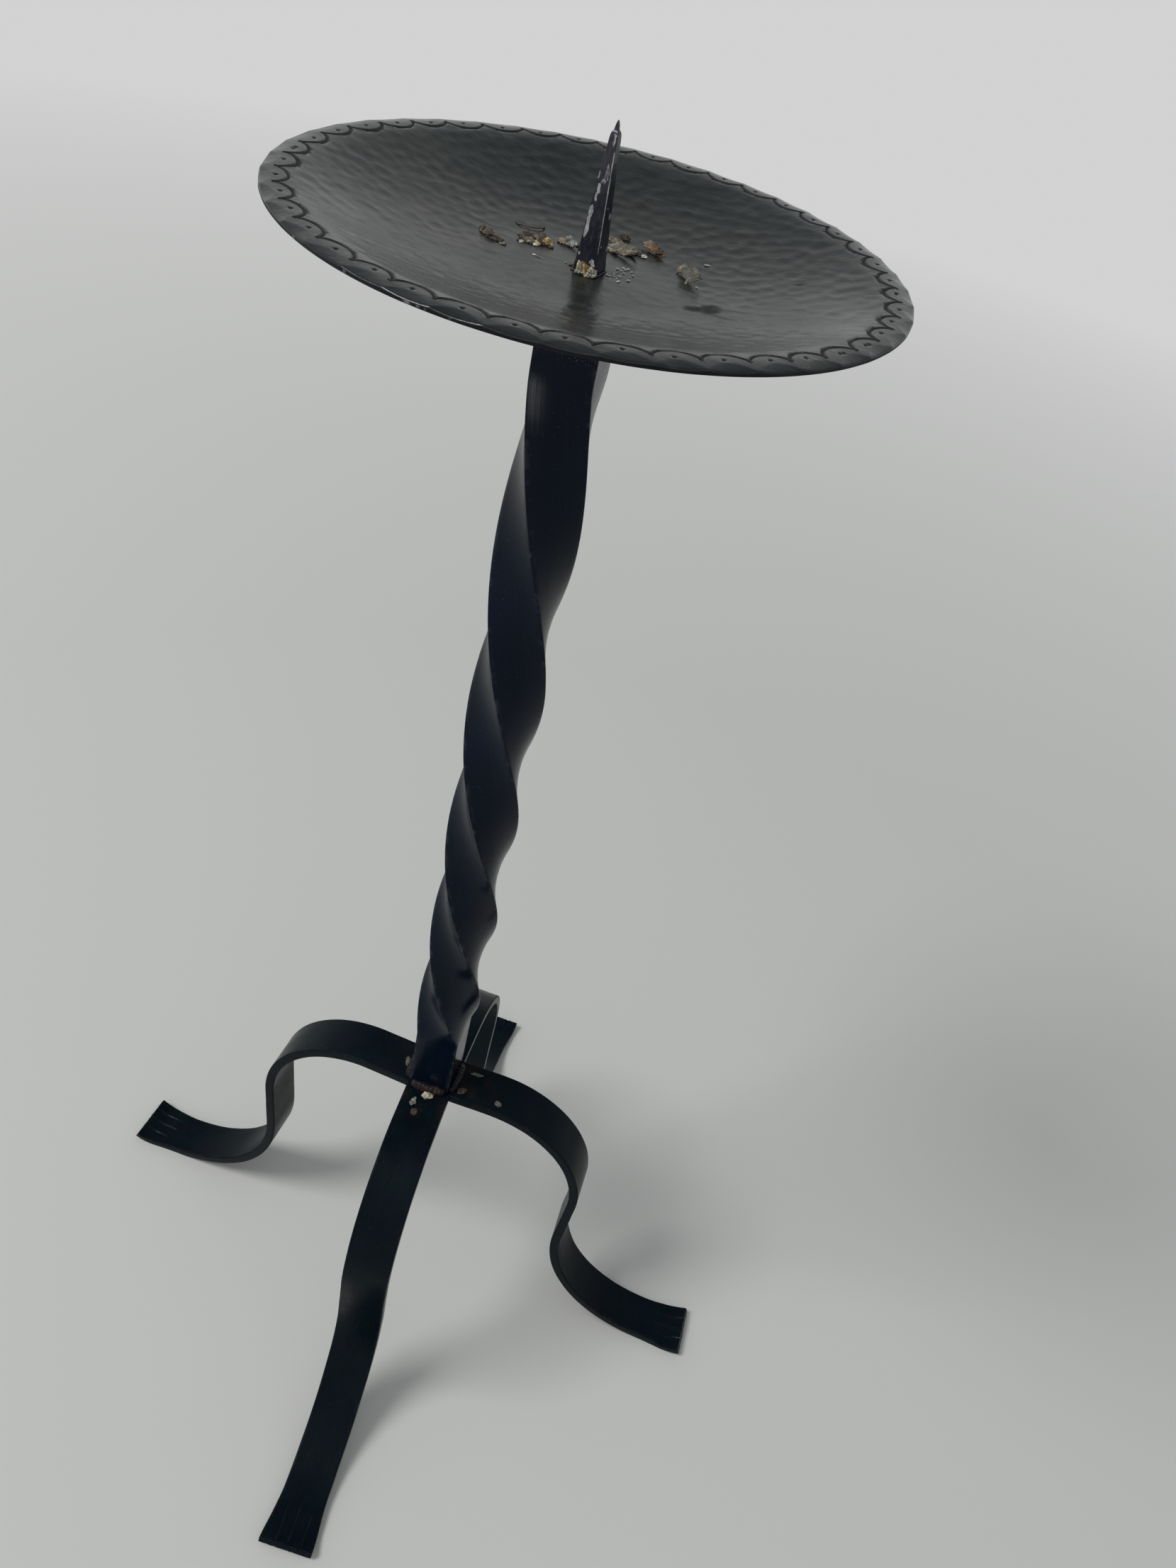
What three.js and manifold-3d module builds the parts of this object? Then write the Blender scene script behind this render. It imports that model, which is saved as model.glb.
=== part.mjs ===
// A tall iron pricket stand: a hammered drip pan with one spike for a pillar candle,
// on a twisted square bar that stands on four bent flat-bar legs.
// Millimetres, +Z up. The origin is on the floor, under the middle of the stem.
// The right-hand leg points along +X, the back leg along +Y.

import * as THREE from 'three';
import { mergeVertices } from 'three/addons/utils/BufferGeometryUtils.js';
import Module from 'manifold-3d';

const wasm = await Module();
wasm.setup();

// ---------------------------------------------------------------- sizes
const gap = 0.3;                // between pieces that touch

// Drip pan
const panRadius = 150;
const panThickness = 2.5;
const panDepth = 20.5;          // outer edge above the flat middle
const rimHeight = 925;          // outer edge above the floor
const panFlatRadius = 36;       // flat middle of the dish
const panLipWidth = 20;         // rolled outer band
const panLipRise = 1.3;         // how much lower the lip's inner line is than the edge
const panBowlSlope = 18;        // degrees, where the bowl meets the lip
const panFootPull = 0.42;       // share of the bowl's span over which its foot stays low
const panBrowPull = 0.18;       // share of the bowl's span over which its top keeps the slope
const panLipCrown = 0.45;       // share of the lip's width that rises on before it turns over
const bowlSteps = 7;
const lipSteps = 4;
const facetCount = 43;          // hammer blows round the edge
const facetDip = 0.8;           // how far a blow sinks the edge
const facetBite = 0.5;          // how far a blow draws the edge in

// Spike
const spikeBase = 11.5;         // side of its square foot
const spikeNeck = 4.8;          // side where the point starts
const spikeTip = 0.8;           // side of the blunt end
const spikeHeight = 65;
const spikePointLength = 7;
const spikeTurn = -10;          // degrees from the stem's faces
const tangSide = 9;
const tangDepth = 14;           // into the stem
const spikeSeatRadius = 13;     // dished out of the pan's middle for the spike and its weld
const spikeSeatDepth = 0.2;

// Stem
const stemSide = 33;
const stemCorner = 1;           // chamfer on the bar's edges
const stemTopStraight = 47;     // untwisted length under the pan
const stemFootStraight = 71;    // untwisted length down to the legs' underside
const twistAngle = 450;         // degrees, five quarter turns
const twistEase = 1.23;         // 1 is an even pitch, more starts slowly at the top
const twistSteps = 80;

// Legs
const legWidth = 36;
const legThickness = 8;
const legCorner = 0.8;          // chamfer on the bar's edges
const legTop = 266;             // upper face of the root above the floor
const legReach = 275.5;         // stem's middle to the tip
const rootEnd = 50;             // stem's middle to the start of the shoulder bend
const shoulderRadius = 84;      // inside of the bend
const waistLean = 3;            // degrees that the upright leans back in
const footFlat = 10;            // length that rests on the floor
const tipRadius = 45;           // underside of the turned-up tip
const tipLift = 27;             // degrees
const bendSteps = 10;           // in the shoulder and in the foot
const tipSteps = 4;
const flareLength = 46;
const flareWidth = 43;          // at the tip
const flareThickness = 5.5;     // at the tip
const chiselCount = 3;
const chiselPitch = 10;
const chiselLength = 38;
const chiselDepth = 1.3;
const chiselWidth = 3;
const legs = [                  // quarter turn, and how far off square each leg is welded
  { side: 'right', quarter: 0, offSquare: 1.1 },
  { side: 'back', quarter: 1, offSquare: 0 },
  { side: 'left', quarter: 2, offSquare: -3.8 },
  { side: 'front', quarter: 3, offSquare: 2.7 },
];

// Welds
const legWeldLength = 28;
const legWeldSize = 6;
const seamWeldLength = 25;
const seamWeldWidth = 6;
const seamWeldHeight = 2.4;
const panWeldSize = 4;
const spikeWeldSize = 2.4;
const weldRipple = 0.1;         // share of the bead's size
const ripplePitch = 4;
const beadBelly = 0.88;         // how far a round bead's face reaches out, as a share of its size
const beadWaist = 0.42;         // and how far along the other side it does so
const seamShoulder = 0.7;       // the same for the flatter bead under the hub

// ---------------------------------------------------------------- places that follow
const panFloor = rimHeight - panDepth;
const panUnderside = panFloor - panThickness;
const spikeSeat = panFloor - spikeSeatDepth;
const stemTop = panUnderside - gap;
const stemFoot = legTop - legThickness;
const twistTop = stemTop - stemTopStraight;
const twistFoot = stemFoot + stemFootStraight;
const stemFace = stemSide / 2;

const iron = new THREE.MeshStandardMaterial({ color: 0x14171b, roughness: 0.38, metalness: 0.6, flatShading: true });
const panIron = new THREE.MeshStandardMaterial({ color: 0x3a3f3f, roughness: 0.45, metalness: 0.6, flatShading: true });
const weldIron = new THREE.MeshStandardMaterial({ color: 0x2a2723, roughness: 0.6, metalness: 0.5, flatShading: true });

// ---------------------------------------------------------------- helpers
const radians = THREE.MathUtils.degToRad;

// A rectangle with chamfered corners, anticlockwise; its lower edge lies at y = base
function barOutline(width, height, corner, base) {
  const w = width / 2;
  const top = base + height;
  return [
    [-w + corner, base], [w - corner, base], [w, base + corner], [w, top - corner],
    [w - corner, top], [-w + corner, top], [-w, top - corner], [-w, base + corner],
  ].map(([x, y]) => new THREE.Vector2(x, y));
}

function squareOutline(side) {
  const h = side / 2;
  return [[-h, -h], [h, -h], [h, h], [-h, h]].map(([x, y]) => new THREE.Vector2(x, y));
}

// A closed body through a row of stations, each an outline placed by a matrix.
// An endless row joins its last station to its first and needs no ends.
function loft(stations, endless = false) {
  const count = stations[0].outline.length;
  const positions = [];
  for (const { outline, matrix } of stations) {
    for (const p of outline) {
      positions.push(...new THREE.Vector3(p.x, p.y, 0).applyMatrix4(matrix).toArray());
    }
  }
  const index = [];
  const spans = endless ? stations.length : stations.length - 1;
  for (let i = 0; i < spans; i += 1) {
    const here = i * count;
    const next = ((i + 1) % stations.length) * count;
    for (let j = 0; j < count; j += 1) {
      const k = (j + 1) % count;
      index.push(here + j, here + k, next + k, here + j, next + k, next + j);
    }
  }
  if (!endless) {
    const last = (stations.length - 1) * count;
    for (let j = 1; j < count - 1; j += 1) {
      index.push(0, j + 1, j);
      index.push(last, last + j, last + j + 1);
    }
  }
  const geometry = new THREE.BufferGeometry();
  geometry.setAttribute('position', new THREE.Float32BufferAttribute(positions, 3));
  geometry.setIndex(index);
  return geometry;
}

function toSolid(geometry) {
  const bare = geometry.clone();
  bare.deleteAttribute('normal');
  bare.deleteAttribute('uv');
  const merged = mergeVertices(bare, 1e-4);
  return new wasm.Manifold(new wasm.Mesh({
    numProp: 3,
    vertProperties: new Float32Array(merged.attributes.position.array),
    triVerts: new Uint32Array(merged.index.array),
  }));
}

function toGeometry(solid) {
  const { vertProperties, triVerts } = solid.getMesh();
  const geometry = new THREE.BufferGeometry();
  geometry.setAttribute('position', new THREE.BufferAttribute(vertProperties, 3));
  geometry.setIndex(new THREE.BufferAttribute(triVerts, 1));
  return geometry;
}

function named(name, geometry, material) {
  geometry.computeVertexNormals();
  const mesh = new THREE.Mesh(geometry, material);
  mesh.name = name;
  return mesh;
}

// A square hole or peg along Z, turned with the spike
function spikePrism(side, bottom, top) {
  const box = new THREE.BoxGeometry(side, side, top - bottom);
  box.translate(0, 0, (bottom + top) / 2);
  box.rotateZ(radians(spikeTurn));
  return toSolid(box);
}

// ---------------------------------------------------------------- drip pan
// The dish's upper line from the flat middle to the edge, as radius and height
function panLine() {
  const lipStart = panRadius - panLipWidth;
  const lipFoot = panDepth - panLipRise;
  const slope = Math.tan(radians(panBowlSlope));
  const bowlSpan = lipStart - panFlatRadius;
  const bowl = new THREE.CubicBezierCurve(
    new THREE.Vector2(panFlatRadius, 0),
    new THREE.Vector2(panFlatRadius + bowlSpan * panFootPull, 0),
    new THREE.Vector2(lipStart - bowlSpan * panBrowPull, lipFoot - bowlSpan * panBrowPull * slope),
    new THREE.Vector2(lipStart, lipFoot),
  );
  const lip = new THREE.QuadraticBezierCurve(
    new THREE.Vector2(lipStart, lipFoot),
    new THREE.Vector2(lipStart + panLipWidth * panLipCrown, lipFoot + panLipWidth * panLipCrown * slope),
    new THREE.Vector2(panRadius, panDepth),
  );
  return [...bowl.getPoints(bowlSteps), ...lip.getPoints(lipSteps).slice(1)];
}

// The dish is turned from its -Y side, and every second point round its edge from there
// lies in the middle of a hammer blow
function hammerEdge(geometry) {
  const place = geometry.attributes.position;
  const lipStart = panRadius - panLipWidth;
  for (let i = 0; i < place.count; i += 1) {
    const p = new THREE.Vector3().fromBufferAttribute(place, i);
    const radius = Math.hypot(p.x, p.y);
    const share = Math.max(0, (radius - lipStart) / panLipWidth) ** 2;
    const blow = (1 - Math.cos(Math.atan2(p.x, -p.y) * facetCount)) / 2;
    const drawn = radius > 0 ? 1 - (facetBite * share * blow) / radius : 1;
    place.setXYZ(i, p.x * drawn, p.y * drawn, p.z - facetDip * share * blow);
  }
}

function dripPan() {
  const upper = panLine();
  const lower = upper.map((p) => new THREE.Vector2(p.x, p.y - panThickness));
  const profile = [
    new THREE.Vector2(0, -panThickness), ...lower,
    ...upper.toReversed(), new THREE.Vector2(spikeSeatRadius, 0),
    new THREE.Vector2(spikeSeatRadius, -spikeSeatDepth), new THREE.Vector2(0, -spikeSeatDepth),
  ];
  const dish = new THREE.LatheGeometry(profile, facetCount * 2);
  dish.rotateX(Math.PI / 2);
  hammerEdge(dish);
  dish.translate(0, 0, panFloor);
  const hole = spikePrism(tangSide + 2 * gap, panUnderside - 1, panFloor + 1);
  return named('drip_pan', toGeometry(toSolid(dish).subtract(hole)), panIron);
}

// ---------------------------------------------------------------- spike
function pricketSpike() {
  const foot = spikeSeat + gap;
  const tip = panFloor + spikeHeight;
  const levels = [
    [stemTop - tangDepth, tangSide], [foot, tangSide], [foot, spikeBase],
    [tip - spikePointLength, spikeNeck], [tip, spikeTip],
  ];
  const stations = levels.map(([height, side]) => ({
    outline: squareOutline(side),
    matrix: new THREE.Matrix4().makeTranslation(0, 0, height),
  }));
  const spike = named('pricket_spike', loft(stations), iron);
  spike.rotation.z = radians(spikeTurn);
  return spike;
}

// ---------------------------------------------------------------- stem
// Degrees that the bar has turned at a height; it turns anticlockwise going down
function twistAt(height) {
  const share = THREE.MathUtils.clamp((twistTop - height) / (twistTop - twistFoot), 0, 1);
  return twistAngle * share ** twistEase;
}

function twistedStem() {
  const heights = [stemFoot];
  for (let i = 0; i <= twistSteps; i += 1) {
    heights.push(THREE.MathUtils.lerp(twistFoot, twistTop, i / twistSteps));
  }
  heights.push(stemTop);
  const stations = heights.map((height) => ({
    outline: barOutline(stemSide, stemSide, stemCorner, -stemFace),
    matrix: new THREE.Matrix4().makeRotationZ(radians(twistAt(height))).setPosition(0, 0, height),
  }));
  const mortise = spikePrism(tangSide + 2 * gap, stemTop - tangDepth - gap, stemTop + 1);
  return named('stem', toGeometry(toSolid(loft(stations)).subtract(mortise)), iron);
}

// ---------------------------------------------------------------- legs
// The underside of a leg, walked from the root to the tip as a smith bends it.
// Each step keeps its place, its heading above level and the length walked so far.
function legWalk() {
  const walk = [{ x: 0, z: legTop - legThickness, heading: 0, length: 0 }];
  const straight = (length) => {
    const from = walk.at(-1);
    const x = from.x + length * Math.cos(from.heading);
    const z = from.z + length * Math.sin(from.heading);
    walk.push({ x, z, heading: from.heading, length: from.length + length });
  };
  const bend = (degrees, radius, steps) => {
    const turn = radians(degrees) / steps;
    const chord = 2 * radius * Math.sin(Math.abs(turn) / 2);
    for (let i = 0; i < steps; i += 1) {
      const from = walk.at(-1);
      const along = from.heading + turn / 2;
      const x = from.x + chord * Math.cos(along);
      const z = from.z + chord * Math.sin(along);
      walk.push({ x, z, heading: from.heading + turn, length: from.length + chord });
    }
  };

  const sweep = radians(90 + waistLean);
  const tipRun = tipRadius * Math.sin(radians(tipLift));
  // The waist's length and the foot's radius together bring the tip to its reach on the floor
  const drop = stemFoot - shoulderRadius * (1 - Math.cos(sweep));
  const spread = legReach - tipRun - footFlat - rootEnd - shoulderRadius * Math.sin(sweep);
  const lean = Math.cos(radians(waistLean));
  const inward = Math.sin(radians(waistLean));
  const footRadius = (spread * lean + drop * inward) / (Math.sin(sweep) * lean + (1 - Math.cos(sweep)) * inward);
  const waist = (drop - footRadius * (1 - Math.cos(sweep))) / lean;

  straight(rootEnd);
  bend(-(90 + waistLean), shoulderRadius, bendSteps);
  straight(waist);
  bend(90 + waistLean, footRadius, bendSteps);
  straight(footFlat);
  bend(tipLift, tipRadius, tipSteps);
  return walk;
}

function legMatrix({ x, z, heading }) {
  const across = new THREE.Vector3(0, 1, 0);
  const outward = new THREE.Vector3(-Math.sin(heading), 0, Math.cos(heading));
  const along = new THREE.Vector3(Math.cos(heading), 0, Math.sin(heading));
  return new THREE.Matrix4().makeBasis(across, outward, along).setPosition(x, 0, z);
}

// How far into the flare a step is, from 0 before it to 1 at the tip
function flareShare(step, total) {
  return THREE.MathUtils.smoothstep(step.length, total - flareLength, total);
}

function legBar(walk) {
  const total = walk.at(-1).length;
  const stations = walk.map((step) => {
    const share = flareShare(step, total);
    const width = THREE.MathUtils.lerp(legWidth, flareWidth, share);
    const thickness = THREE.MathUtils.lerp(legThickness, flareThickness, share);
    return { outline: barOutline(width, thickness, legCorner, 0), matrix: legMatrix(step) };
  });
  return toSolid(loft(stations));
}

// One V cut along the upper face of the flare, deepest at the tip
function chiselCut(walk, offset) {
  const total = walk.at(-1).length;
  const proud = 0.5;
  const cut = walk.filter((step) => step.length > total - chiselLength);
  const end = walk.at(-1);
  cut.push({
    x: end.x + Math.cos(end.heading),
    z: end.z + Math.sin(end.heading),
    heading: end.heading,
    length: total,
  });
  const stations = cut.map((step) => {
    const top = THREE.MathUtils.lerp(legThickness, flareThickness, flareShare(step, total));
    const depth = chiselDepth * (1 - (total - step.length) / chiselLength);
    const half = (chiselWidth / 2) * (1 + proud / chiselDepth);
    const points = [[offset, top - depth], [offset + half, top + proud], [offset - half, top + proud]];
    return { outline: points.map(([x, y]) => new THREE.Vector2(x, y)), matrix: legMatrix(step) };
  });
  return toSolid(loft(stations));
}

// The room that a leg may fill: out from the stem's face, between the mitres to its neighbours
function legRoom() {
  const near = stemFace + gap;
  const spare = 50;              // past the leg's reach and above and below it
  const far = legReach + spare;
  const mitre = gap / Math.SQRT2;
  const plan = new THREE.Shape([
    new THREE.Vector2(near, mitre - near), new THREE.Vector2(far, mitre - far),
    new THREE.Vector2(far, far - mitre), new THREE.Vector2(near, near - mitre),
  ]);
  const room = new THREE.ExtrudeGeometry(plan, { depth: legTop + 2 * spare, bevelEnabled: false });
  room.translate(0, 0, -spare);
  return room;
}

function bentLeg({ side, quarter, offSquare }) {
  const walk = legWalk();
  let bar = legBar(walk);
  for (let i = 0; i < chiselCount; i += 1) {
    bar = bar.subtract(chiselCut(walk, chiselPitch * (i - (chiselCount - 1) / 2)));
  }
  const room = legRoom().rotateZ(radians(-offSquare));
  const leg = named(`leg_${side}`, toGeometry(bar.intersect(toSolid(room))), iron);
  leg.rotation.z = radians(90 * quarter + offSquare);
  return leg;
}

// ---------------------------------------------------------------- welds
// A bead's size at a place along it, with the ripples that the weld pool leaves
function rippled(size, along) {
  return size * (1 - weldRipple / 2 + (weldRipple / 2) * Math.cos((along / ripplePitch) * 2 * Math.PI));
}

// The corner between a level face and an upright one, filled with a round bead
function filletOutline(size) {
  const belly = size * beadBelly;
  const waist = size * beadWaist;
  return [[0, 0], [size, 0], [belly, waist], [waist, belly], [0, size]]
    .map(([x, y]) => new THREE.Vector2(x, y));
}

function seamOutline(size) {
  const w = size / 2;
  const deep = size * (seamWeldHeight / seamWeldWidth);
  const shoulder = w * seamShoulder;
  const down = deep * seamShoulder;
  return [[-w, 0], [-shoulder, -down], [0, -deep], [shoulder, -down], [w, 0]]
    .map(([x, y]) => new THREE.Vector2(x, y));
}

// A straight bead across a leg, on the leg's root at the stem's face, with rounded ends
function crossBead(name, outline, size, length, x, z) {
  const steps = Math.round((length / ripplePitch) * 2);
  const stations = [];
  for (let i = 0; i <= steps; i += 1) {
    const along = (i / steps) * length;
    const end = Math.min(along, length - along) / (size / 2);
    const rounded = end >= 1 ? 1 : 0.5 + 0.5 * Math.sqrt(1 - (1 - end) ** 2);
    const matrix = new THREE.Matrix4().makeBasis(
      new THREE.Vector3(1, 0, 0), new THREE.Vector3(0, 0, 1), new THREE.Vector3(0, -1, 0),
    ).setPosition(x, length / 2 - along, z);
    stations.push({ outline: outline(rippled(size, along) * rounded), matrix });
  }
  return named(name, loft(stations), weldIron);
}

// A bead that runs right round a square piece; up is 1 where it stands on a face, -1 where it hangs
function ringBead(name, side, size, height, up) {
  const inner = side / 2 + gap;
  const stations = [];
  const perSide = 2 * Math.max(2, Math.round(side / ripplePitch / 2));
  for (let i = 0; i < 4 * perSide; i += 1) {
    const quarter = Math.floor(i / perSide);
    const share = (i % perSide) / perSide;
    const reach = (share * 2 - 1) * inner;
    const corner = share === 0;
    const angle = quarter * 90 - (corner ? 45 : 0);
    const foot = corner ? Math.SQRT2 * inner : inner;
    const slide = corner ? 0 : reach;
    const away = new THREE.Vector3(Math.cos(radians(angle)), Math.sin(radians(angle)), 0);
    const across = new THREE.Vector3(-away.y, away.x, 0);
    const place = away.clone().multiplyScalar(foot).addScaledVector(across, slide);
    const matrix = new THREE.Matrix4().makeBasis(
      away, new THREE.Vector3(0, 0, up), across.clone().multiplyScalar(-up),
    ).setPosition(place.x, place.y, height);
    stations.push({ outline: filletOutline(rippled(size, reach)), matrix });
  }
  if (up > 0) {
    stations.reverse();
  }
  return named(name, loft(stations, true), weldIron);
}

// ---------------------------------------------------------------- the stand
const stand = new THREE.Group();
stand.add(dripPan(), pricketSpike(), twistedStem());

for (const leg of legs) {
  stand.add(bentLeg(leg));
  const joint = new THREE.Group();
  joint.rotation.z = radians(90 * leg.quarter);
  const root = stemFace + gap;
  joint.add(crossBead(`weld_${leg.side}`, filletOutline, legWeldSize, legWeldLength, root, legTop + gap));
  joint.add(crossBead(`seam_${leg.side}`, seamOutline, seamWeldWidth, seamWeldLength, root, stemFoot - gap));
  stand.add(joint);
}

stand.add(ringBead('pan_weld', stemSide, panWeldSize, panUnderside - gap, -1));
const spikeWeld = ringBead('spike_weld', spikeBase, spikeWeldSize, spikeSeat + gap, 1);
spikeWeld.rotation.z = radians(spikeTurn);
stand.add(spikeWeld);

export default stand;
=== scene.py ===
import math
import random
import bmesh
import bpy
import numpy as np
from mathutils import Matrix, Vector, kdtree, noise


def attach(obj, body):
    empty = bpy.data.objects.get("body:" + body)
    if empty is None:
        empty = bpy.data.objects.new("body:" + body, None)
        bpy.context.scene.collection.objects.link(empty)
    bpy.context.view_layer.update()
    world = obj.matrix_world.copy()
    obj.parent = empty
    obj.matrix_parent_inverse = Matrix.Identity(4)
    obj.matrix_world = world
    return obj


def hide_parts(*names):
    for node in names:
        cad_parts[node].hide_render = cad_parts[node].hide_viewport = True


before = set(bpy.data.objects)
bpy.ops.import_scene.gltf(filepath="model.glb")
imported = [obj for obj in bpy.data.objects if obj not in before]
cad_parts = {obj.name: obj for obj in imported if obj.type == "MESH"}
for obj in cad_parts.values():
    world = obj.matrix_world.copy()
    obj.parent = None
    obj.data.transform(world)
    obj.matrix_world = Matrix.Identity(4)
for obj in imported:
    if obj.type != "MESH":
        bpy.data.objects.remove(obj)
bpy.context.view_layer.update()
mm = 0.001


# small helpers, used by every piece

def deselectAll():
    if bpy.context.object and bpy.context.object.mode != "OBJECT":
        bpy.ops.object.mode_set(mode="OBJECT")
    bpy.ops.object.select_all(action="DESELECT")


def pickUp(piece):
    deselectAll()
    piece.select_set(True)
    bpy.context.view_layer.objects.active = piece


def startPiece(name):
    # the primitive just added becomes the named piece, with its size and place in its mesh
    piece = bpy.context.object
    piece.name = name
    piece.data.name = name
    bpy.ops.object.transform_apply(location=True, rotation=True, scale=True)
    return piece


def selectEdges(piece, wanted):
    # in edit mode: selects the edges for which wanted(start, end) is true
    bpy.ops.mesh.select_mode(type="EDGE")
    bpy.ops.mesh.select_all(action="DESELECT")
    mesh = bmesh.from_edit_mesh(piece.data)
    for edge in mesh.edges:
        edge.select_set(wanted(edge.verts[0].co, edge.verts[1].co))
    bmesh.update_edit_mesh(piece.data)


def selectFaces(piece, wanted):
    bpy.ops.mesh.select_mode(type="FACE")
    bpy.ops.mesh.select_all(action="DESELECT")
    mesh = bmesh.from_edit_mesh(piece.data)
    for face in mesh.faces:
        face.select_set(wanted(face.calc_center_median(), face.normal))
    bmesh.update_edit_mesh(piece.data)


def readPoints(piece):
    flat = np.empty(len(piece.data.vertices) * 3)
    piece.data.vertices.foreach_get("co", flat)
    return flat.reshape(-1, 3)


def writePoints(piece, points):
    piece.data.vertices.foreach_set("co", np.ascontiguousarray(points, dtype=np.float64).ravel())
    piece.data.update()


def writeShare(piece, name, values):
    # a number from 0 to 1 at every point, which the finishes read
    layer = piece.data.attributes.new(name, "FLOAT", "POINT")
    layer.data.foreach_set("value", np.asarray(values, dtype=np.float32))


def closeUp(piece, reach=1e-6):
    pickUp(piece)
    bpy.ops.object.mode_set(mode="EDIT")
    bpy.ops.mesh.select_all(action="SELECT")
    bpy.ops.mesh.remove_doubles(threshold=reach)
    bpy.ops.mesh.normals_make_consistent(inside=False)
    bpy.ops.object.mode_set(mode="OBJECT")


def smoothPiece(piece, degrees):
    pickUp(piece)
    bpy.ops.object.shade_smooth_by_angle(angle=math.radians(degrees))


def smoothStep(low, high, value):
    share = np.clip((value - low) / (high - low), 0, 1)
    return share * share * (3 - 2 * share)


def roughness3(points, size, seed):
    # soft noise from -1 to 1 at every point; size is the length of its waves
    shift = Vector((seed * 3.1, seed * 7.7, seed * 1.3))
    return np.array([noise.noise(Vector(p) / size + shift) for p in points])


def turned(x, y, angle):
    # a place turned round Z
    c, s = np.cos(angle), np.sin(angle)
    return x * c - y * s, x * s + y * c


def finishPiece(piece, material, slot, *nodes):
    piece.data.materials.clear()
    piece.data.materials.append(material)
    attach(piece, "root")
    if nodes:
        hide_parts(*nodes)


# camera: matched to the photograph's rim, spike, stem and feet

cameraView = {
    "place": (0.1242, -0.5764, 1.0966),
    "turn": (48.81, -11.11, 15.86),      # degrees
    "lens": 28.05,
}
cameraData = bpy.data.cameras.new("photoCamera")
cameraData.lens = cameraView["lens"]
cameraData.sensor_width = 36
cameraData.clip_start = 0.01
cameraData.clip_end = 100
camera = bpy.data.objects.new("photoCamera", cameraData)
camera.location = cameraView["place"]
camera.rotation_euler = [math.radians(a) for a in cameraView["turn"]]
bpy.context.scene.collection.objects.link(camera)
bpy.context.scene.camera = camera
print("camera placed")


# finishes, mixed from a few node patterns

class Mixer:
    def __init__(self, tree):
        self.nodes, self.links = tree.nodes, tree.links

    def feed(self, socket, value):
        # another socket is linked, a number or a colour is set
        if isinstance(value, bpy.types.NodeSocket):
            self.links.new(value, socket)
        else:
            socket.default_value = (*value, 1) if isinstance(value, tuple) else value

    def ramp(self, source, *stops):
        # stops: (place, grey or colour)
        made = self.nodes.new("ShaderNodeValToRGB")
        steps = made.color_ramp.elements
        while len(steps) < len(stops):
            steps.new(0.5)
        for step, (place, colour) in zip(steps, stops):
            step.position = place
            step.color = (*colour, 1) if isinstance(colour, tuple) else (colour, colour, colour, 1)
        self.links.new(source, made.inputs["Fac"])
        return made.outputs["Color"]

    def blend(self, share, first, second):
        # first where share is 0, second where it is 1; each is a socket or a colour
        made = self.nodes.new("ShaderNodeMix")
        made.data_type = "RGBA"
        self.links.new(share, made.inputs["Factor"])
        colours = [socket for socket in made.inputs if socket.type == "RGBA"]
        self.feed(colours[0], first)
        self.feed(colours[1], second)
        return next(socket for socket in made.outputs if socket.type == "RGBA")

    def over(self, colour, pattern, low, high, most, other):
        # lays another colour on where the pattern rises from low to high, by at most that share
        return self.blend(self.ramp(pattern, (low, 0.0), (high, most)), colour, other)

    def math(self, kind, first, second):
        made = self.nodes.new("ShaderNodeMath")
        made.operation = kind
        self.feed(made.inputs[0], first)
        self.feed(made.inputs[1], second)
        return made.outputs["Value"]

    def times(self, first, second):
        return self.math("MULTIPLY", first, second)


class Paint(Mixer):
    # a finish for one kind of surface, on the piece's own coordinates

    def __init__(self, name, baseColor, roughness, specular=0.5):
        self.material = bpy.data.materials.new(name)
        self.material.use_nodes = True
        super().__init__(self.material.node_tree)
        self.shader = self.nodes["Principled BSDF"]
        self.wear("Base Color", baseColor)
        self.wear("Roughness", roughness)
        self.wear("Specular IOR Level", specular)
        self.where = self.nodes.new("ShaderNodeTexCoord").outputs["Object"]

    def wear(self, name, value):
        self.feed(self.shader.inputs[name], value)

    def noise(self, scale, detail=4.0, rough=0.55, stretch=None, distortion=0.0, source=None):
        # scale is in waves per metre
        source = source or self.where
        if stretch:
            mapping = self.nodes.new("ShaderNodeMapping")
            mapping.inputs["Scale"].default_value = stretch
            self.links.new(source, mapping.inputs["Vector"])
            source = mapping.outputs["Vector"]
        pattern = self.nodes.new("ShaderNodeTexNoise")
        looks = {"Vector": source, "Scale": scale, "Detail": detail, "Roughness": rough, "Distortion": distortion}
        for name, value in looks.items():
            self.feed(pattern.inputs[name], value)
        return pattern.outputs["Fac"]

    def share(self, name):
        # a number that the piece carries at its points
        made = self.nodes.new("ShaderNodeAttribute")
        made.attribute_name = name
        return made.outputs["Fac"]

    def bumps(self, *layers):
        # one over the other: (pattern, depth in metres)
        for number, (height, depth) in enumerate(layers):
            made = self.nodes.new("ShaderNodeBump")
            made.inputs["Strength"].default_value = 1.0
            made.inputs["Distance"].default_value = depth
            self.links.new(height, made.inputs["Height"])
            if number:
                self.links.new(below, made.inputs["Normal"])
            below = made.outputs["Normal"]
        self.wear("Normal", below)


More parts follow.
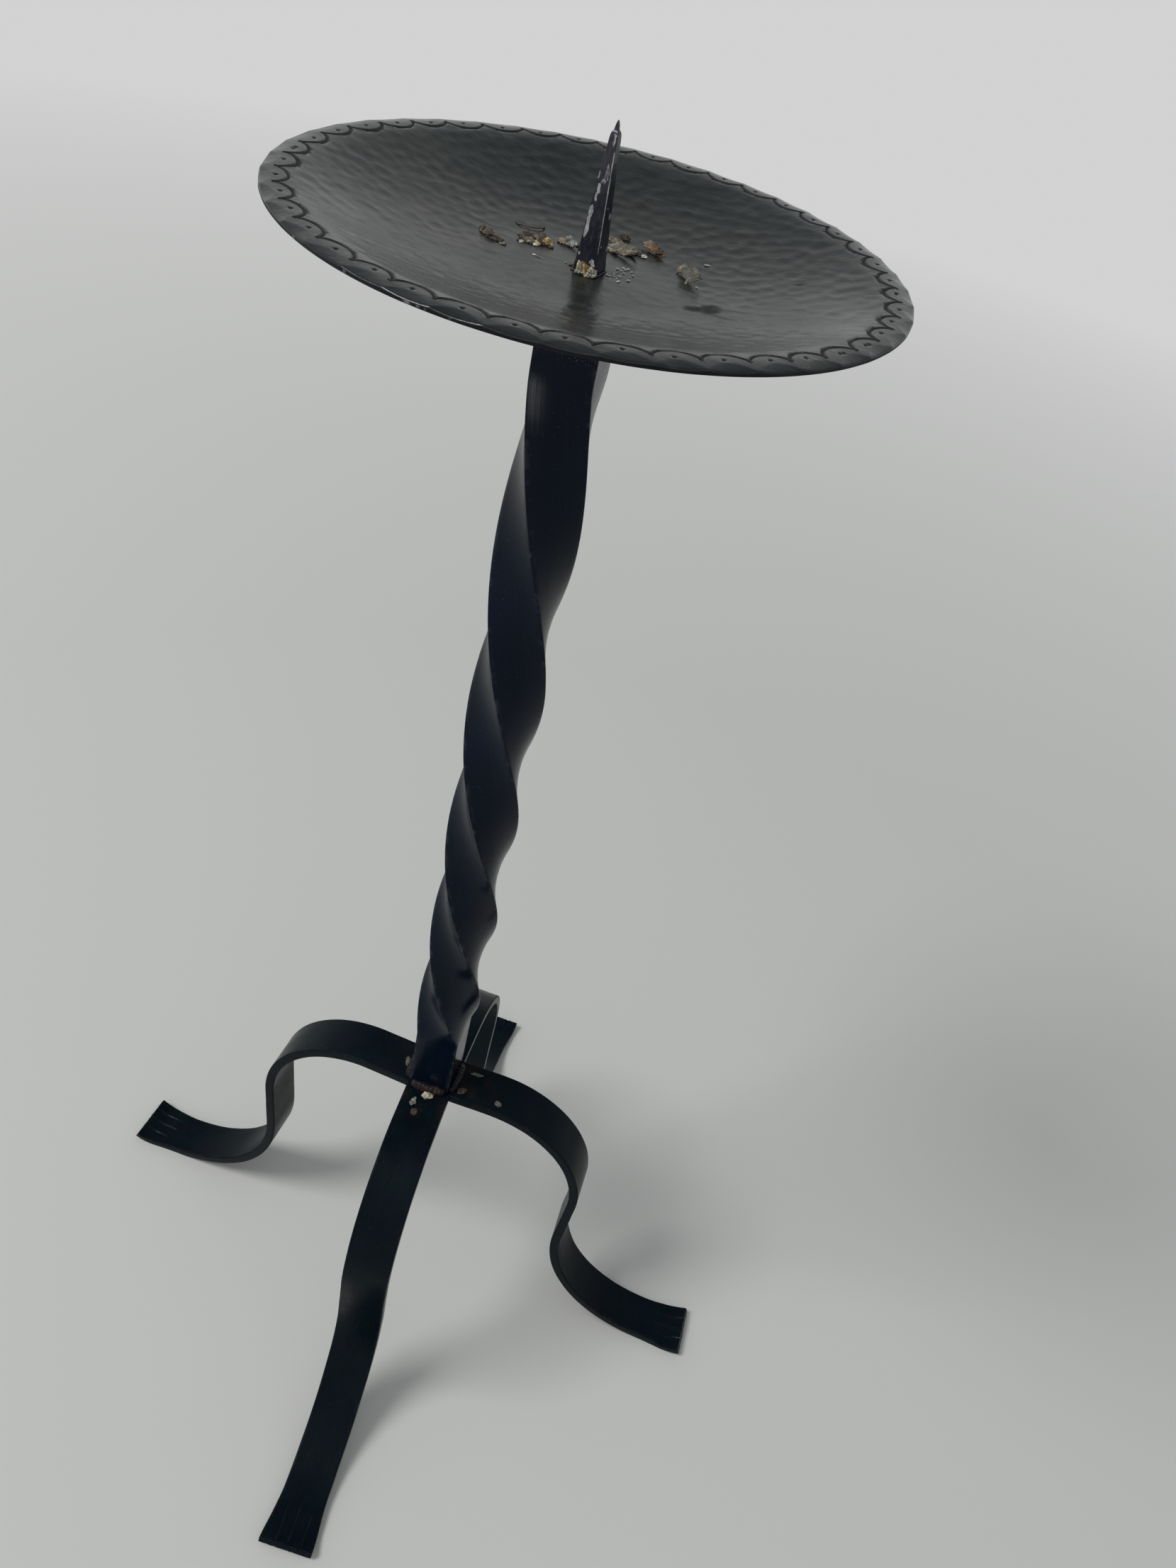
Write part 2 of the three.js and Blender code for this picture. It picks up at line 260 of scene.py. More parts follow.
def panFinish():
    # satin charcoal paint, cloudy, with faint drag marks, and the punch marks darkened, partly by dark paint left in
    # them and partly by painted shade
    paint = Paint("panPaint", (0.010, 0.011, 0.012), 0.33, 0.40)
    mottle = paint.noise(90, 4, 0.6)
    drag = paint.noise(60, 5, 0.6, stretch=(0.25, 1.6, 1.0), distortion=0.3)
    fineDrag = paint.noise(170, 5, 0.6, stretch=(0.40, 1.0, 1.0), distortion=0.4)
    groove = paint.share("groove")
    colour = paint.ramp(paint.noise(14, 5, 0.6), (0.3, (0.006, 0.0095, 0.0105)),
                        (0.5, (0.010, 0.0125, 0.0125)), (0.72, (0.017, 0.017, 0.0155)))
    colour = paint.over(colour, mottle, 0.35, 0.75, 0.45, (0.005, 0.006, 0.0065))
    colour = paint.over(colour, drag, 0.52, 0.8, 0.4, (0.040, 0.040, 0.037))
    colour = paint.over(colour, fineDrag, 0.52, 0.72, 0.45, (0.038, 0.039, 0.036))
    # a paler, warmer patch over the left of the dish
    paleLeftMix = paint.times(paint.share("paleLeft"), paint.ramp(mottle, (0.3, 1.0), (0.75, 0.35)))
    colour = paint.blend(paleLeftMix, colour, (0.036, 0.034, 0.030))
    # the punch marks darkened: partly dark paint left in them, partly painted shade in the recesses
    colour = paint.blend(paint.times(groove, 0.92), colour, (0.002, 0.0023, 0.003))
    spot = paint.times(paint.share("stain"), paint.ramp(mottle, (0.3, 0.95), (0.7, 0.5)))
    paint.wear("Base Color", paint.blend(spot, colour, (0.003, 0.0032, 0.0035)))
    gloss = paint.ramp(paint.noise(35, 5, 0.6), (0.3, 0.20), (0.7, 0.31))
    dull = paint.math("MAXIMUM", spot, paint.times(groove, 0.7))
    paint.wear("Roughness", paint.blend(dull, gloss, (0.9, 0.9, 0.9)))
    paint.bumps((paint.noise(160, 4, 0.55), 0.00017), (fineDrag, 0.00018), (paint.noise(900, 3, 0.6), 0.00003))
    return paint.material


def underShadeFinish():
    # a darker, duller copy of the dish's paint on its wall and underside, as painted shade, with a few bare chips
    paint = Paint("panUnderShade", (0.0035, 0.0045, 0.0075), 0.5, 0.15)
    colour = paint.ramp(paint.noise(40, 5, 0.6), (0.3, (0.0025, 0.0035, 0.0065)), (0.7, (0.0075, 0.0085, 0.011)))
    paint.wear("Base Color", paint.blend(paint.share("bare"), colour, (0.16, 0.165, 0.17)))
    paint.wear("Roughness", paint.ramp(paint.noise(60, 4, 0.6), (0.3, 0.42), (0.7, 0.6)))
    paint.bumps((paint.noise(220, 5, 0.6), 0.00015))
    return paint.material


barLooks = {
    "stemPaint": {"gloss": (0.17, 0.27), "specular": 0.11, "chips": 0.5,
                  "dark": (0.0007, 0.0034, 0.0112), "light": (0.0016, 0.0058, 0.0160)},
    "legPaint": {"gloss": (0.24, 0.36), "specular": 0.07, "chips": 0.10,
                 "dark": (0.0010, 0.0036, 0.0062), "light": (0.0022, 0.0062, 0.0092)},
}


def blackFinish(name):
    # blue-black paint over forged bar: drawn lines along it, teal and purple painted sheens in the colour, chips and
    # dust
    look = barLooks[name]
    paint = Paint(name, (0.0035, 0.005, 0.0095), 0.25, look["specular"])
    along = paint.nodes.new("ShaderNodeUVMap")
    along.uv_map = "bar"
    lines = paint.noise(1, 4, 0.65, stretch=(900, 14, 1), source=along.outputs["UV"])
    teal = paint.noise(34, 3, 0.55, stretch=(1, 1, 0.35))
    purple = paint.noise(41, 3, 0.55, stretch=(1.1, 1.1, 0.3))
    specks = paint.noise(1100, 2, 0.5)
    edge = paint.share("edge")
    colour = paint.ramp(paint.noise(25, 5, 0.6), (0.3, look["dark"]), (0.7, look["light"]))
    # painted sheens: teal and purple patches laid into the colour
    colour = paint.over(colour, teal, 0.48, 0.66, 0.75, (0.0020, 0.0072, 0.0098))
    colour = paint.over(colour, purple, 0.54, 0.70, 0.45, (0.0060, 0.0036, 0.0100))
    colour = paint.over(colour, lines, 0.55, 0.8, 0.5, (0.010, 0.013, 0.019))
    gloss = paint.ramp(paint.noise(40, 5, 0.6), (0.3, look["gloss"][0]), (0.7, look["gloss"][1]))
    if name == "stemPaint":      # dust thrown on the top of the stem, and a grey scuff that was dragged down
        specks = paint.math("ADD", specks, paint.times(paint.share("dust"), 0.15))
        scuff = paint.times(paint.share("scuff"), paint.ramp(lines, (0.35, 0.1), (0.62, 1.0)))
        colour = paint.blend(scuff, colour, (0.11, 0.115, 0.12))
    else:                        # brown bloom round the hub, and dull corners
        bloom = paint.times(paint.share("rust"), paint.ramp(paint.noise(300, 5, 0.7), (0.35, 0.1), (0.68, 0.9)))
        colour = paint.blend(bloom, colour, (0.026, 0.014, 0.009))
        gloss = paint.over(gloss, edge, 0.5, 0.95, 0.8, (0.7, 0.7, 0.7))
    colour = paint.over(colour, specks, 0.745, 0.78, 0.7, (0.17, 0.19, 0.21))
    worn = paint.times(edge, paint.ramp(paint.noise(120, 5, 0.65), (0.5, 0.0), (0.62, 1.0)))
    paint.wear("Base Color", paint.blend(paint.times(worn, look["chips"]), colour, (0.06, 0.065, 0.075)))
    paint.wear("Roughness", gloss)
    paint.bumps((lines, 0.00004), (paint.noise(220, 4, 0.6), 0.00008))
    return paint.material


def spikeFinish():
    # dusty dark iron, worn bright in ragged patches, with a painted highlight along its front ridge
    paint = Paint("spikeIron", (0.008, 0.009, 0.015), 0.3, 0.35)
    patches = paint.noise(95, 6, 0.65, stretch=(1, 1, 0.35))
    streaks = paint.noise(650, 5, 0.7, stretch=(1, 1, 0.4))
    ragged = paint.math("ADD", paint.share("worn"), paint.times(paint.math("SUBTRACT", streaks, 0.5), 0.9))
    worn = paint.ramp(ragged, (0.44, 0.0), (0.58, 1.0))
    grey = paint.ramp(streaks, (0.3, (0.13, 0.135, 0.135)), (0.65, (0.44, 0.45, 0.44)))
    dark = paint.ramp(patches, (0.35, (0.009, 0.0095, 0.017)), (0.65, (0.028, 0.027, 0.038)))
    dark = paint.over(dark, streaks, 0.50, 0.72, 0.7, (0.060, 0.060, 0.068))
    colour = paint.over(paint.blend(worn, dark, grey), paint.noise(1300, 2, 0.5), 0.73, 0.77, 0.7, (0.25, 0.26, 0.26))
    paint.wear("Base Color", colour)
    paint.wear("Roughness", paint.ramp(worn, (0.0, 0.24), (1.0, 0.55)))
    paint.bumps((patches, 0.00015), (paint.noise(700, 3, 0.6), 0.00004))
    return paint.material


def weldFinish(name, tint, share):
    # painted bead, with rust, wax or dust where it gathers
    paint = Paint(name, (0.01, 0.011, 0.014), 0.4, 0.15)
    patches = paint.noise(160, 5, 0.6)
    dark = paint.ramp(paint.noise(300, 4, 0.6), (0.3, (0.004, 0.005, 0.008)), (0.7, (0.012, 0.013, 0.017)))
    stained = paint.ramp(paint.noise(420, 5, 0.7), (0.25, tuple(c * 0.35 for c in tint)), (0.75, tint))
    spread = paint.ramp(patches, (0.62 - share * 0.3, 0.0), (0.72 - share * 0.3, 1.0))
    paint.wear("Base Color", paint.blend(spread, dark, stained))
    paint.wear("Roughness", paint.ramp(patches, (0.4, 0.3), (0.7, 0.7)))
    paint.bumps((paint.noise(500, 4, 0.7), 0.00015))
    return paint.material


def crumbFinish(name, dark, middle, light, roughness=0.6):
    # flaked rust and old wax: mottled, dull, rough
    paint = Paint(name, middle, roughness, 0.4)
    paint.wear("Base Color", paint.ramp(paint.noise(420, 5, 0.7), (0.30, dark), (0.5, middle), (0.68, light)))
    paint.bumps((paint.noise(900, 4, 0.7), 0.00025))
    return paint.material


panPaint = panFinish()
panUnderShade = underShadeFinish()
stemPaint = blackFinish("stemPaint")
legPaint = blackFinish("legPaint")
spikeIron = spikeFinish()
hubWeld = weldFinish("hubWeld", (0.060, 0.028, 0.016), 0.35)
plainWeld = weldFinish("plainWeld", (0.05, 0.045, 0.04), 0.1)
print("finishes made")


# drip pan

panShape = {
    "radius": 150 * mm, "floor": 904.5 * mm, "depth": 20.5 * mm, "thickness": 2.5 * mm,
    "flat": 36 * mm, "lip": 20 * mm, "lipRise": 1.3 * mm, "slope": 18,
    "footPull": 0.42, "browPull": 0.18, "crown": 0.45,
    "steps": 344, "fineSteps": 4, "fineFrom": 135.6 * mm,
    "dentGap": 6.6 * mm, "dentRadius": 5.0 * mm, "dentDepth": 0.25 * mm, "blows": 26000,
    "warp": 0.12 * mm, "tangHole": 9.6 * mm,
}
scallops = {
    "count": 43, "slip": 0.33, "wander": 0.24,     # turned on from +X, in scallops, and how unevenly they are spaced
    "cusp": 143.3 * mm, "reach": 7.0 * mm, "groove": 0.70 * mm, "grooveWidth": 0.68 * mm,
    "dot": 141.8 * mm, "dotDepth": 0.7 * mm, "dotWidth": 0.85 * mm,
    "blowReach": 5.8 * mm, "blowSlope": 0.155, "blowShift": 0.08, "bite": 0.25 * mm,
    "struckTwice": 0.75, "dottedTwice": (1, 22, 39, 40), "burr": 0.10 * mm,
}
# dark stains: (strength, x, y, half length, half width in millimetres, lean)
stainSpots = [
    (0.9, 54, -11, 5.5, 4.4, 0.5), (1.0, 61.5, -8, 5.2, 8.5, 0.1), (0.4, 66, -17, 12, 1.6, -0.35),
    (0.9, 95, 36, 2.8, 1.3, 0.2), (0.8, 96, 88, 1.8, 1.1, 0.1),
]
# bright chips on the edge: (degrees round it, size in millimetres)
bareChips = [(-149, 0.7), (-128.5, 1.0), (-115, 0.8), (-103, 1.5), (-101.2, 0.8), (-100, 0.6), (-96, 0.5)]


def cubic(a, b, c, d, t):
    return a * (1 - t) ** 3 + 3 * b * t * (1 - t) ** 2 + 3 * c * t ** 2 * (1 - t) + d * t ** 3


def panLine():
    # the dish's upper line as (radius, height over the flat middle), the same curve as the CAD's
    p = panShape
    lipStart = p["radius"] - p["lip"]
    lipFoot = p["depth"] - p["lipRise"]
    rise = math.tan(math.radians(p["slope"]))
    span = lipStart - p["flat"]
    t = np.linspace(0, 1, 400)
    bowl = np.stack([
        cubic(p["flat"], p["flat"] + span * p["footPull"], lipStart - span * p["browPull"], lipStart, t),
        cubic(0, 0, lipFoot - span * p["browPull"] * rise, lipFoot, t)], axis=1)
    turn = p["lip"] * p["crown"]
    lip = np.stack([
        lipStart * (1 - t) ** 2 + 2 * (lipStart + turn) * t * (1 - t) + p["radius"] * t ** 2,
        lipFoot * (1 - t) ** 2 + 2 * (lipFoot + turn * rise) * t * (1 - t) + p["depth"] * t ** 2], axis=1)
    return np.vstack([[[0, 0]], bowl, lip[1:]])


panCurve = panLine()


def panHeight(radius):
    return np.interp(radius, panCurve[:, 0], panCurve[:, 1])


def panProfile():
    # points of the section, from the middle out along the top and back along the underside
    p = panShape
    edge = p["radius"]
    radii = [0.0, 0.006, 0.012, 0.018, 0.024, 0.030, 0.036]
    radii += list(np.arange(0.0375, 0.1355, 0.0015))
    radii += list(np.arange(0.1362, 0.1494, 0.0005))
    top = [(r, panHeight(r)) for r in radii]
    wall = p["thickness"]
    high = panHeight(edge)
    rim = [(edge - 0.30 * mm, high - 0.10 * mm), (edge, high - 0.55 * mm), (edge, high - 1.2 * mm),
           (edge, high - wall + 0.6 * mm), (edge - 0.35 * mm, high - wall + 0.12 * mm)]
    wayBack = (0.1485, 0.1465, 0.144, 0.141, 0.137, 0.132, 0.125, 0.117, 0.108, 0.098,
               0.088, 0.077, 0.066, 0.055, 0.045, 0.036, 0.024, 0.012, 0.0)
    below = [(r, panHeight(r) - wall) for r in wayBack]
    return top + rim + below


def spinPan():
    p = panShape
    section = panProfile()
    deselectAll()
    bpy.ops.mesh.primitive_plane_add(size=0.01, location=(0, 0, p["floor"]))
    piece = startPiece("drip_pan_hammered")
    bpy.ops.object.mode_set(mode="EDIT")
    bpy.ops.mesh.select_all(action="SELECT")
    bpy.ops.mesh.merge(type="CENTER")
    for (r0, z0), (r1, z1) in zip(section, section[1:]):
        bpy.ops.mesh.extrude_vertices_move(TRANSFORM_OT_translate={"value": (r1 - r0, 0, z1 - z0)})
    bpy.ops.mesh.select_all(action="SELECT")
    bpy.ops.mesh.spin(steps=p["steps"], angle=math.tau, center=(0, 0, 0), axis=(0, 0, 1))
    bpy.ops.mesh.select_all(action="SELECT")
    bpy.ops.mesh.remove_doubles(threshold=0.01 * mm)
    bpy.ops.mesh.normals_make_consistent(inside=False)
    # more points round the edge, for the punch marks
    fine = p["fineFrom"]
    selectEdges(piece, lambda a, b: abs(a.z - b.z) < 1e-6 and min(a.xy.length, b.xy.length) > fine
                and abs(a.xy.length - b.xy.length) < 1e-6 and a.z > p["floor"] + panHeight(a.xy.length) - 2.0 * mm)
    bpy.ops.mesh.subdivide(number_cuts=p["fineSteps"])
    bpy.ops.object.mode_set(mode="OBJECT")
    return piece


def scallopEdges(rng):
    # the places round the edge, in scallops, where one ends and the next starts
    return np.array([k + rng.uniform(-0.045, 0.045) for k in range(scallops["count"])])


def scallopTurn(angle):
    # how many scallops round an angle is, with the smith's uneven spacing
    s = scallops
    return angle * s["count"] / math.tau - s["slip"] + s["wander"] * np.sin(angle) + 0.5


def angleOf(turn):
    # the angle at which scallopTurn gives this number
    s = scallops
    angle = (turn - 0.5 + s["slip"]) * math.tau / s["count"]
    for _ in range(6):
        angle = (turn - 0.5 + s["slip"] - s["wander"] * np.sin(angle)) * math.tau / s["count"]
    return angle


def punchMarks(rng, edges):
    # points along every punched curve, and the dots: (x, y, depth, width)
    s = scallops
    count = s["count"]
    marks, dots = [], []
    for k in range(count):
        start = edges[k]
        end = edges[k + 1] if k + 1 < count else edges[0] + count
        deep = s["reach"] + rng.uniform(-0.7, 0.5) * mm
        out = s["cusp"] + rng.uniform(-0.5, 0.4) * mm
        lean = rng.uniform(-0.06, 0.06)
        strikes = [(0.0, 0.0, 1.0, 1.0)]
        if rng.random() < s["struckTwice"]:       # the punch slipped back a little between the blows
            slip, turnSlip = rng.uniform(0.3, 0.8) * mm, rng.uniform(-0.022, 0.012)
            strikes.append((slip, turnSlip, rng.uniform(0.7, 1.0), rng.uniform(0.3, 0.8)))
        # the punch is an arc of a circle as wide as the scallop
        half = math.pi * out / count
        punch = (half ** 2 + deep ** 2) / (2 * deep)
        for slip, turnSlip, force, upTo in strikes:
            u = np.linspace(-1, 1, 110)
            arc = (np.sqrt(punch ** 2 - (u * half) ** 2) - (punch - deep)) / deep
            radius = out - deep * arc * (1 + lean * u) - slip * (1 - u ** 2)
            turn = start + (end - start) * ((u * 1.02 + 1) / 2 + turnSlip)
            angle = angleOf(turn)
            for r, a, v in zip(radius, angle, u):
                if v <= upTo:
                    depth = force * s["groove"] * rng.uniform(0.9, 1.05)
                    marks.append((r * math.cos(a), r * math.sin(a), depth, s["grooveWidth"]))
        middle = angleOf(np.array([(start + end) / 2 + rng.uniform(-0.04, 0.04)]))[0]
        r = s["dot"] + rng.uniform(-1.0, 0.8) * mm
        dots.append((r * math.cos(middle), r * math.sin(middle), s["dotDepth"], s["dotWidth"]))
        if k in s["dottedTwice"]:
            beside = middle + rng.uniform(1.3, 2.6) * mm / r
            r += 0.4 * mm
            dots.append((r * math.cos(beside), r * math.sin(beside), s["dotDepth"] * 0.8, s["dotWidth"]))
    return marks, dots


def nearest(places, points):
    tree = kdtree.KDTree(len(places))
    for i, place in enumerate(places):
        tree.insert((place[0], place[1], 0), i)
    tree.balance()
    found = [tree.find((p[0], p[1], 0)) for p in points]
    return np.array([f[1] for f in found]), np.array([f[2] for f in found])


def dentCentres(rng):
    # hammer blows all over the bowl, none nearer to another than dentGap
    p = panShape
    cell = p["dentGap"]
    taken = {}
    centres = []
    for _ in range(p["blows"]):
        r, a = 140 * mm * math.sqrt(rng.random()), rng.uniform(0, math.tau)
        x, y = r * math.cos(a), r * math.sin(a)
        i, j = math.floor(x / cell), math.floor(y / cell)
        near = [c for di in (-1, 0, 1) for dj in (-1, 0, 1) for c in taken.get((i + di, j + dj), [])]
        if all(math.hypot(x - c[0], y - c[1]) > cell for c in near):
            taken.setdefault((i, j), []).append((x, y))
            centres.append((x, y))
    return centres


def dentField(points, centres, rng):
    # each blow leaves a shallow hollow that meets its neighbours in a narrow ridge
    p = panShape
    tree = kdtree.KDTree(len(centres))
    for i, c in enumerate(centres):
        tree.insert((c[0], c[1], 0), i)
    tree.balance()
    force = [rng.uniform(0.35, 1.3) for _ in centres]
    out = np.zeros(len(points))
    for i, q in enumerate(points):
        near = tree.find_n((q[0], q[1], 0), 3)
        first = near[0][2]
        total = weight = 0.0
        for _, k, d in near:
            w = math.exp(-(d - first) / (0.8 * mm))
            total += w * force[k] * (min(1.3, d / p["dentRadius"]) ** 2 - 0.7)
            weight += w
        out[i] = total / weight
    return out


def hammerPan(piece):
    p, s = panShape, scallops
    rng = random.Random(43)
    points = readPoints(piece)
    x, y, z = points.T
    radius = np.hypot(x, y)
    angle = np.arctan2(y, x)
    depthBelow = p["floor"] + panHeight(np.minimum(radius, p["radius"])) - z     # 0 on top, the wall's thickness below
    onTop = depthBelow < 0.4 * mm
    through = np.clip(1 - depthBelow / p["thickness"], 0, 1)

    edges = scallopEdges(rng)
    marks, dots = punchMarks(rng, edges)
    dents = dentField(points, dentCentres(rng), rng)
    strength = (0.45 + 0.55 * smoothStep(30 * mm, 70 * mm, radius)) * (1 - 0.9 * smoothStep(131 * mm, 138 * mm, radius))
    move = p["dentDepth"] * dents * strength * (0.6 + 0.4 * through)
    warp = roughness3(points, 0.05, 5)
    move += p["warp"] * warp * smoothStep(20 * mm, 60 * mm, radius)

    # blows on the outer edge: one lens-shaped facet for each scallop, hardest at the front
    turn = scallopTurn(angle) - s["blowShift"]
    whole = np.floor(turn)
    which = whole.astype(int) % s["count"]
    slide = np.array([rng.uniform(-0.05, 0.05) for _ in range(s["count"])])[which]
    facing = np.maximum(-np.sin(angle), 0.35 * np.cos(angle))
    power = np.array([rng.uniform(0.75, 1.15) for _ in range(s["count"])])[which]
    power = power * (0.32 + 0.60 * smoothStep(-0.2, 0.7, facing))
    lens = np.clip(1 - (2 * (turn - whole - 0.5 - slide) / 1.02) ** 2, 0, 1)
    start = p["radius"] - s["blowReach"] * lens
    fall = np.maximum(0, radius - start) * (lens > 0)
    move -= s["blowSlope"] * power * fall * (0.12 + 0.88 * through)
    bite = s["bite"] * power * lens * smoothStep(146 * mm, 150 * mm, radius)

    # the punched curves, with a burr beside them, and the dots: (places, burr, where the dark paint and painted shade
    # in them fade)
    lip = onTop & (radius > 130 * mm) & (radius < 146 * mm)
    groove = np.zeros(len(points))
    for places, burr, fadeFrom, fadeTo in ((marks, s["burr"], 0.50 * mm, 0.92 * mm), (dots, 0, 0.55 * mm, 1.1 * mm)):
        index, distance = nearest(places, points[lip])
        struck = np.array(places)[index]
        move[lip] -= struck[:, 2] * np.exp(-(distance / struck[:, 3]) ** 2)
        move[lip] += burr * np.exp(-((distance - 1.2 * mm) / (0.5 * mm)) ** 2)
        groove[lip] = np.maximum(groove[lip], 1 - smoothStep(fadeFrom, fadeTo, distance))

    z = z + move
    drawn = 1 - bite / np.maximum(radius, 1e-6)
    writePoints(piece, np.stack([x * drawn, y * drawn, z], axis=1))
    writeShare(piece, "groove", groove)

    # dark stains, a paler patch on the left, and bright chips on the edge
    ragged = 1 + 0.6 * roughness3(points, 0.005, 9) + 0.35 * roughness3(points, 0.002, 10)
    stain = np.zeros(len(points))
    for strength, cx, cy, wide, high, lean in stainSpots:
        along, across = turned(x - cx * mm, y - cy * mm, -lean)
        away = (along / (wide * mm)) ** 2 + (across / (high * mm)) ** 2
        stain = np.maximum(stain, strength * np.clip(1.25 - 1.15 * away * ragged, 0, 1))
    writeShare(piece, "stain", stain * onTop)
    away = np.hypot(x + 62 * mm, (y + 6 * mm) * 0.8) / (62 * mm)
    paleLeftShare = np.clip(1 - away, 0, 1) * (0.8 + 0.5 * roughness3(points, 0.022, 19))
    writeShare(piece, "paleLeft", paleLeftShare * onTop)
    crumbly = 1 + 0.5 * roughness3(points, 0.0012, 8)
    bare = np.zeros(len(points))
    for degrees, size in bareChips:
        cx, cy = turned(149.5 * mm, 0, math.radians(degrees))
        away = np.hypot(x - cx, y - cy) / (size * mm)
        bare = np.maximum(bare, np.clip(1.3 - away * crumbly, 0, 1))
    writeShare(piece, "bare", bare * (radius > 148.5 * mm))


def shadeUnder(piece):
    # the wall and the underside wear the second finish, the darker copy that paints their shade
    piece.data.materials.append(panUnderShade)
    p = panShape
    middles = [face.center for face in piece.data.polygons]
    below = np.array([p["floor"] + float(panHeight(min(c.xy.length, p["radius"]))) - c.z for c in middles])
    level = np.array([face.normal.z for face in piece.data.polygons])
    wall = (level < 0.35) & (below > 0.15 * mm)
    piece.data.polygons.foreach_set("material_index", wall.astype(np.int32))


def cutTangHole(piece):
    p = panShape
    turn = math.radians(spikeShape["turn"])
    deselectAll()
    bpy.ops.mesh.primitive_cube_add(size=p["tangHole"], location=(0, 0, p["floor"]), rotation=(0, 0, turn))
    cutter = startPiece("tangCutter")
    pickUp(piece)
    hole = piece.modifiers.new("tangHole", "BOOLEAN")
    hole.operation = "DIFFERENCE"
    hole.solver = "EXACT"
    hole.object = cutter
    bpy.ops.object.modifier_apply(modifier="tangHole")
    bpy.data.objects.remove(cutter)


spikeShape = {
    "turn": -10, "base": 11.5 * mm, "neck": 4.1 * mm, "height": 65 * mm, "nib": 4.2 * mm,
    "tang": 9 * mm, "tangDeep": 16.2 * mm, "corner": 0.45 * mm,
    # above the straight taper: (height over the nib's root in mm, width as a share of the neck)
    "shoulder": ((-3.2, 1.0), (-1.8, 0.94), (-0.9, 0.84), (-0.3, 0.70), (0.0, 0.56), (0.5, 0.47),
                 (1.5, 0.42), (2.6, 0.33), (3.5, 0.22), (4.0, 0.13), (4.2, 0.05)),
}

pan = spinPan()
hammerPan(pan)
cutTangHole(pan)
smoothPiece(pan, 50)
finishPiece(pan, panPaint, "pan_iron", "drip_pan")
shadeUnder(pan)
print("drip pan hammered:", len(pan.data.polygons), "faces")


# spike

# bare patches on two faces: (place across it from 0 to 1, height, half width, half height, strength)
spikePatches = {
    "left": [
        (0.05, 0.65, 0.11, 0.028, 1.0), (0.3, 0.56, 0.12, 0.035, 1.0), (0.24, 0.515, 0.09, 0.03, 1.0),
        (0.15, 0.41, 0.13, 0.042, 1.1), (0.14, 0.355, 0.1, 0.04, 1.1), (0.15, 0.3, 0.1, 0.045, 1.1),
        (0.13, 0.255, 0.07, 0.03, 1.0), (0.72, 0.66, 0.22, 0.08, 0.5), (0.5, 0.6, 0.22, 0.035, 0.42),
        (0.75, 0.092, 0.13, 0.014, 1.0), (0.83, 0.076, 0.08, 0.013, 1.0), (0.09, 0.125, 0.06, 0.013, 0.8),
        (0.75, 0.88, 0.2, 0.06, 0.5),
    ],
    "right": [
        (0.8, 0.39, 0.16, 0.022, 0.95), (0.9, 0.165, 0.1, 0.018, 1.1), (0.35, 0.45, 0.08, 0.008, 0.8),
        (0.2, 0.2, 0.08, 0.008, 0.8),
    ],
}


def forgeSpike():
    p = spikeShape
    foot = panShape["floor"] + 0.1 * mm
    top = panShape["floor"] + p["height"]
    deselectAll()
    low = 3 * mm
    bpy.ops.mesh.primitive_cube_add(size=1, location=(0, 0, foot + low / 2), scale=(p["base"], p["base"], low))
    piece = startPiece("pricket_spike_forged")
    bpy.ops.object.mode_set(mode="EDIT")
    selectFaces(piece, lambda c, n: n.z > 0.9)
    side = p["base"]
    length = top - foot
    taper = length - p["nib"] + p["shoulder"][0][0] * mm
    levels = [foot + low + (taper - low) * k / 24 for k in range(1, 25)]
    sides = [p["base"] + (p["neck"] - p["base"]) * (z - foot) / taper for z in levels]
    # round shoulders, then a thin burr that stands on the end
    for lift, wide in p["shoulder"][1:]:
        levels.append(top - p["nib"] + lift * mm)
        sides.append(p["neck"] * wide)
    z = foot + low
    for level, wide in zip(levels, sides):
        bpy.ops.mesh.extrude_region_move(TRANSFORM_OT_translate={"value": (0, 0, level - z)})
        bpy.ops.transform.resize(value=(wide / side, wide / side, 1), center_override=(0, 0, level))
        z, side = level, wide
    selectFaces(piece, lambda c, n: n.z < -0.9)
    bpy.ops.mesh.inset(thickness=(p["base"] - p["tang"]) / 2, depth=0)
    bpy.ops.mesh.extrude_region_move(TRANSFORM_OT_translate={"value": (0, 0, -p["tangDeep"])})
    # round the four long corners, then cut the faces finely enough to hammer
    selectEdges(piece, lambda a, b: abs(a.x) > 1e-5 and a.x * b.x > 0 and a.y * b.y > 0 and abs(a.z - b.z) > 0.3 * mm)
    bpy.ops.mesh.bevel(offset=p["corner"], offset_type="OFFSET", segments=3, profile=0.6, affect="EDGES",
                       clamp_overlap=True)
    selectEdges(piece, lambda a, b: abs(a.z - b.z) < 1e-5 and (a - b).length > 1.2 * mm)
    bpy.ops.mesh.subdivide(number_cuts=19)
    selectEdges(piece, lambda a, b: abs(a.z - b.z) > 1.2 * mm)
    bpy.ops.mesh.subdivide(number_cuts=4)
    bpy.ops.object.mode_set(mode="OBJECT")
    return piece


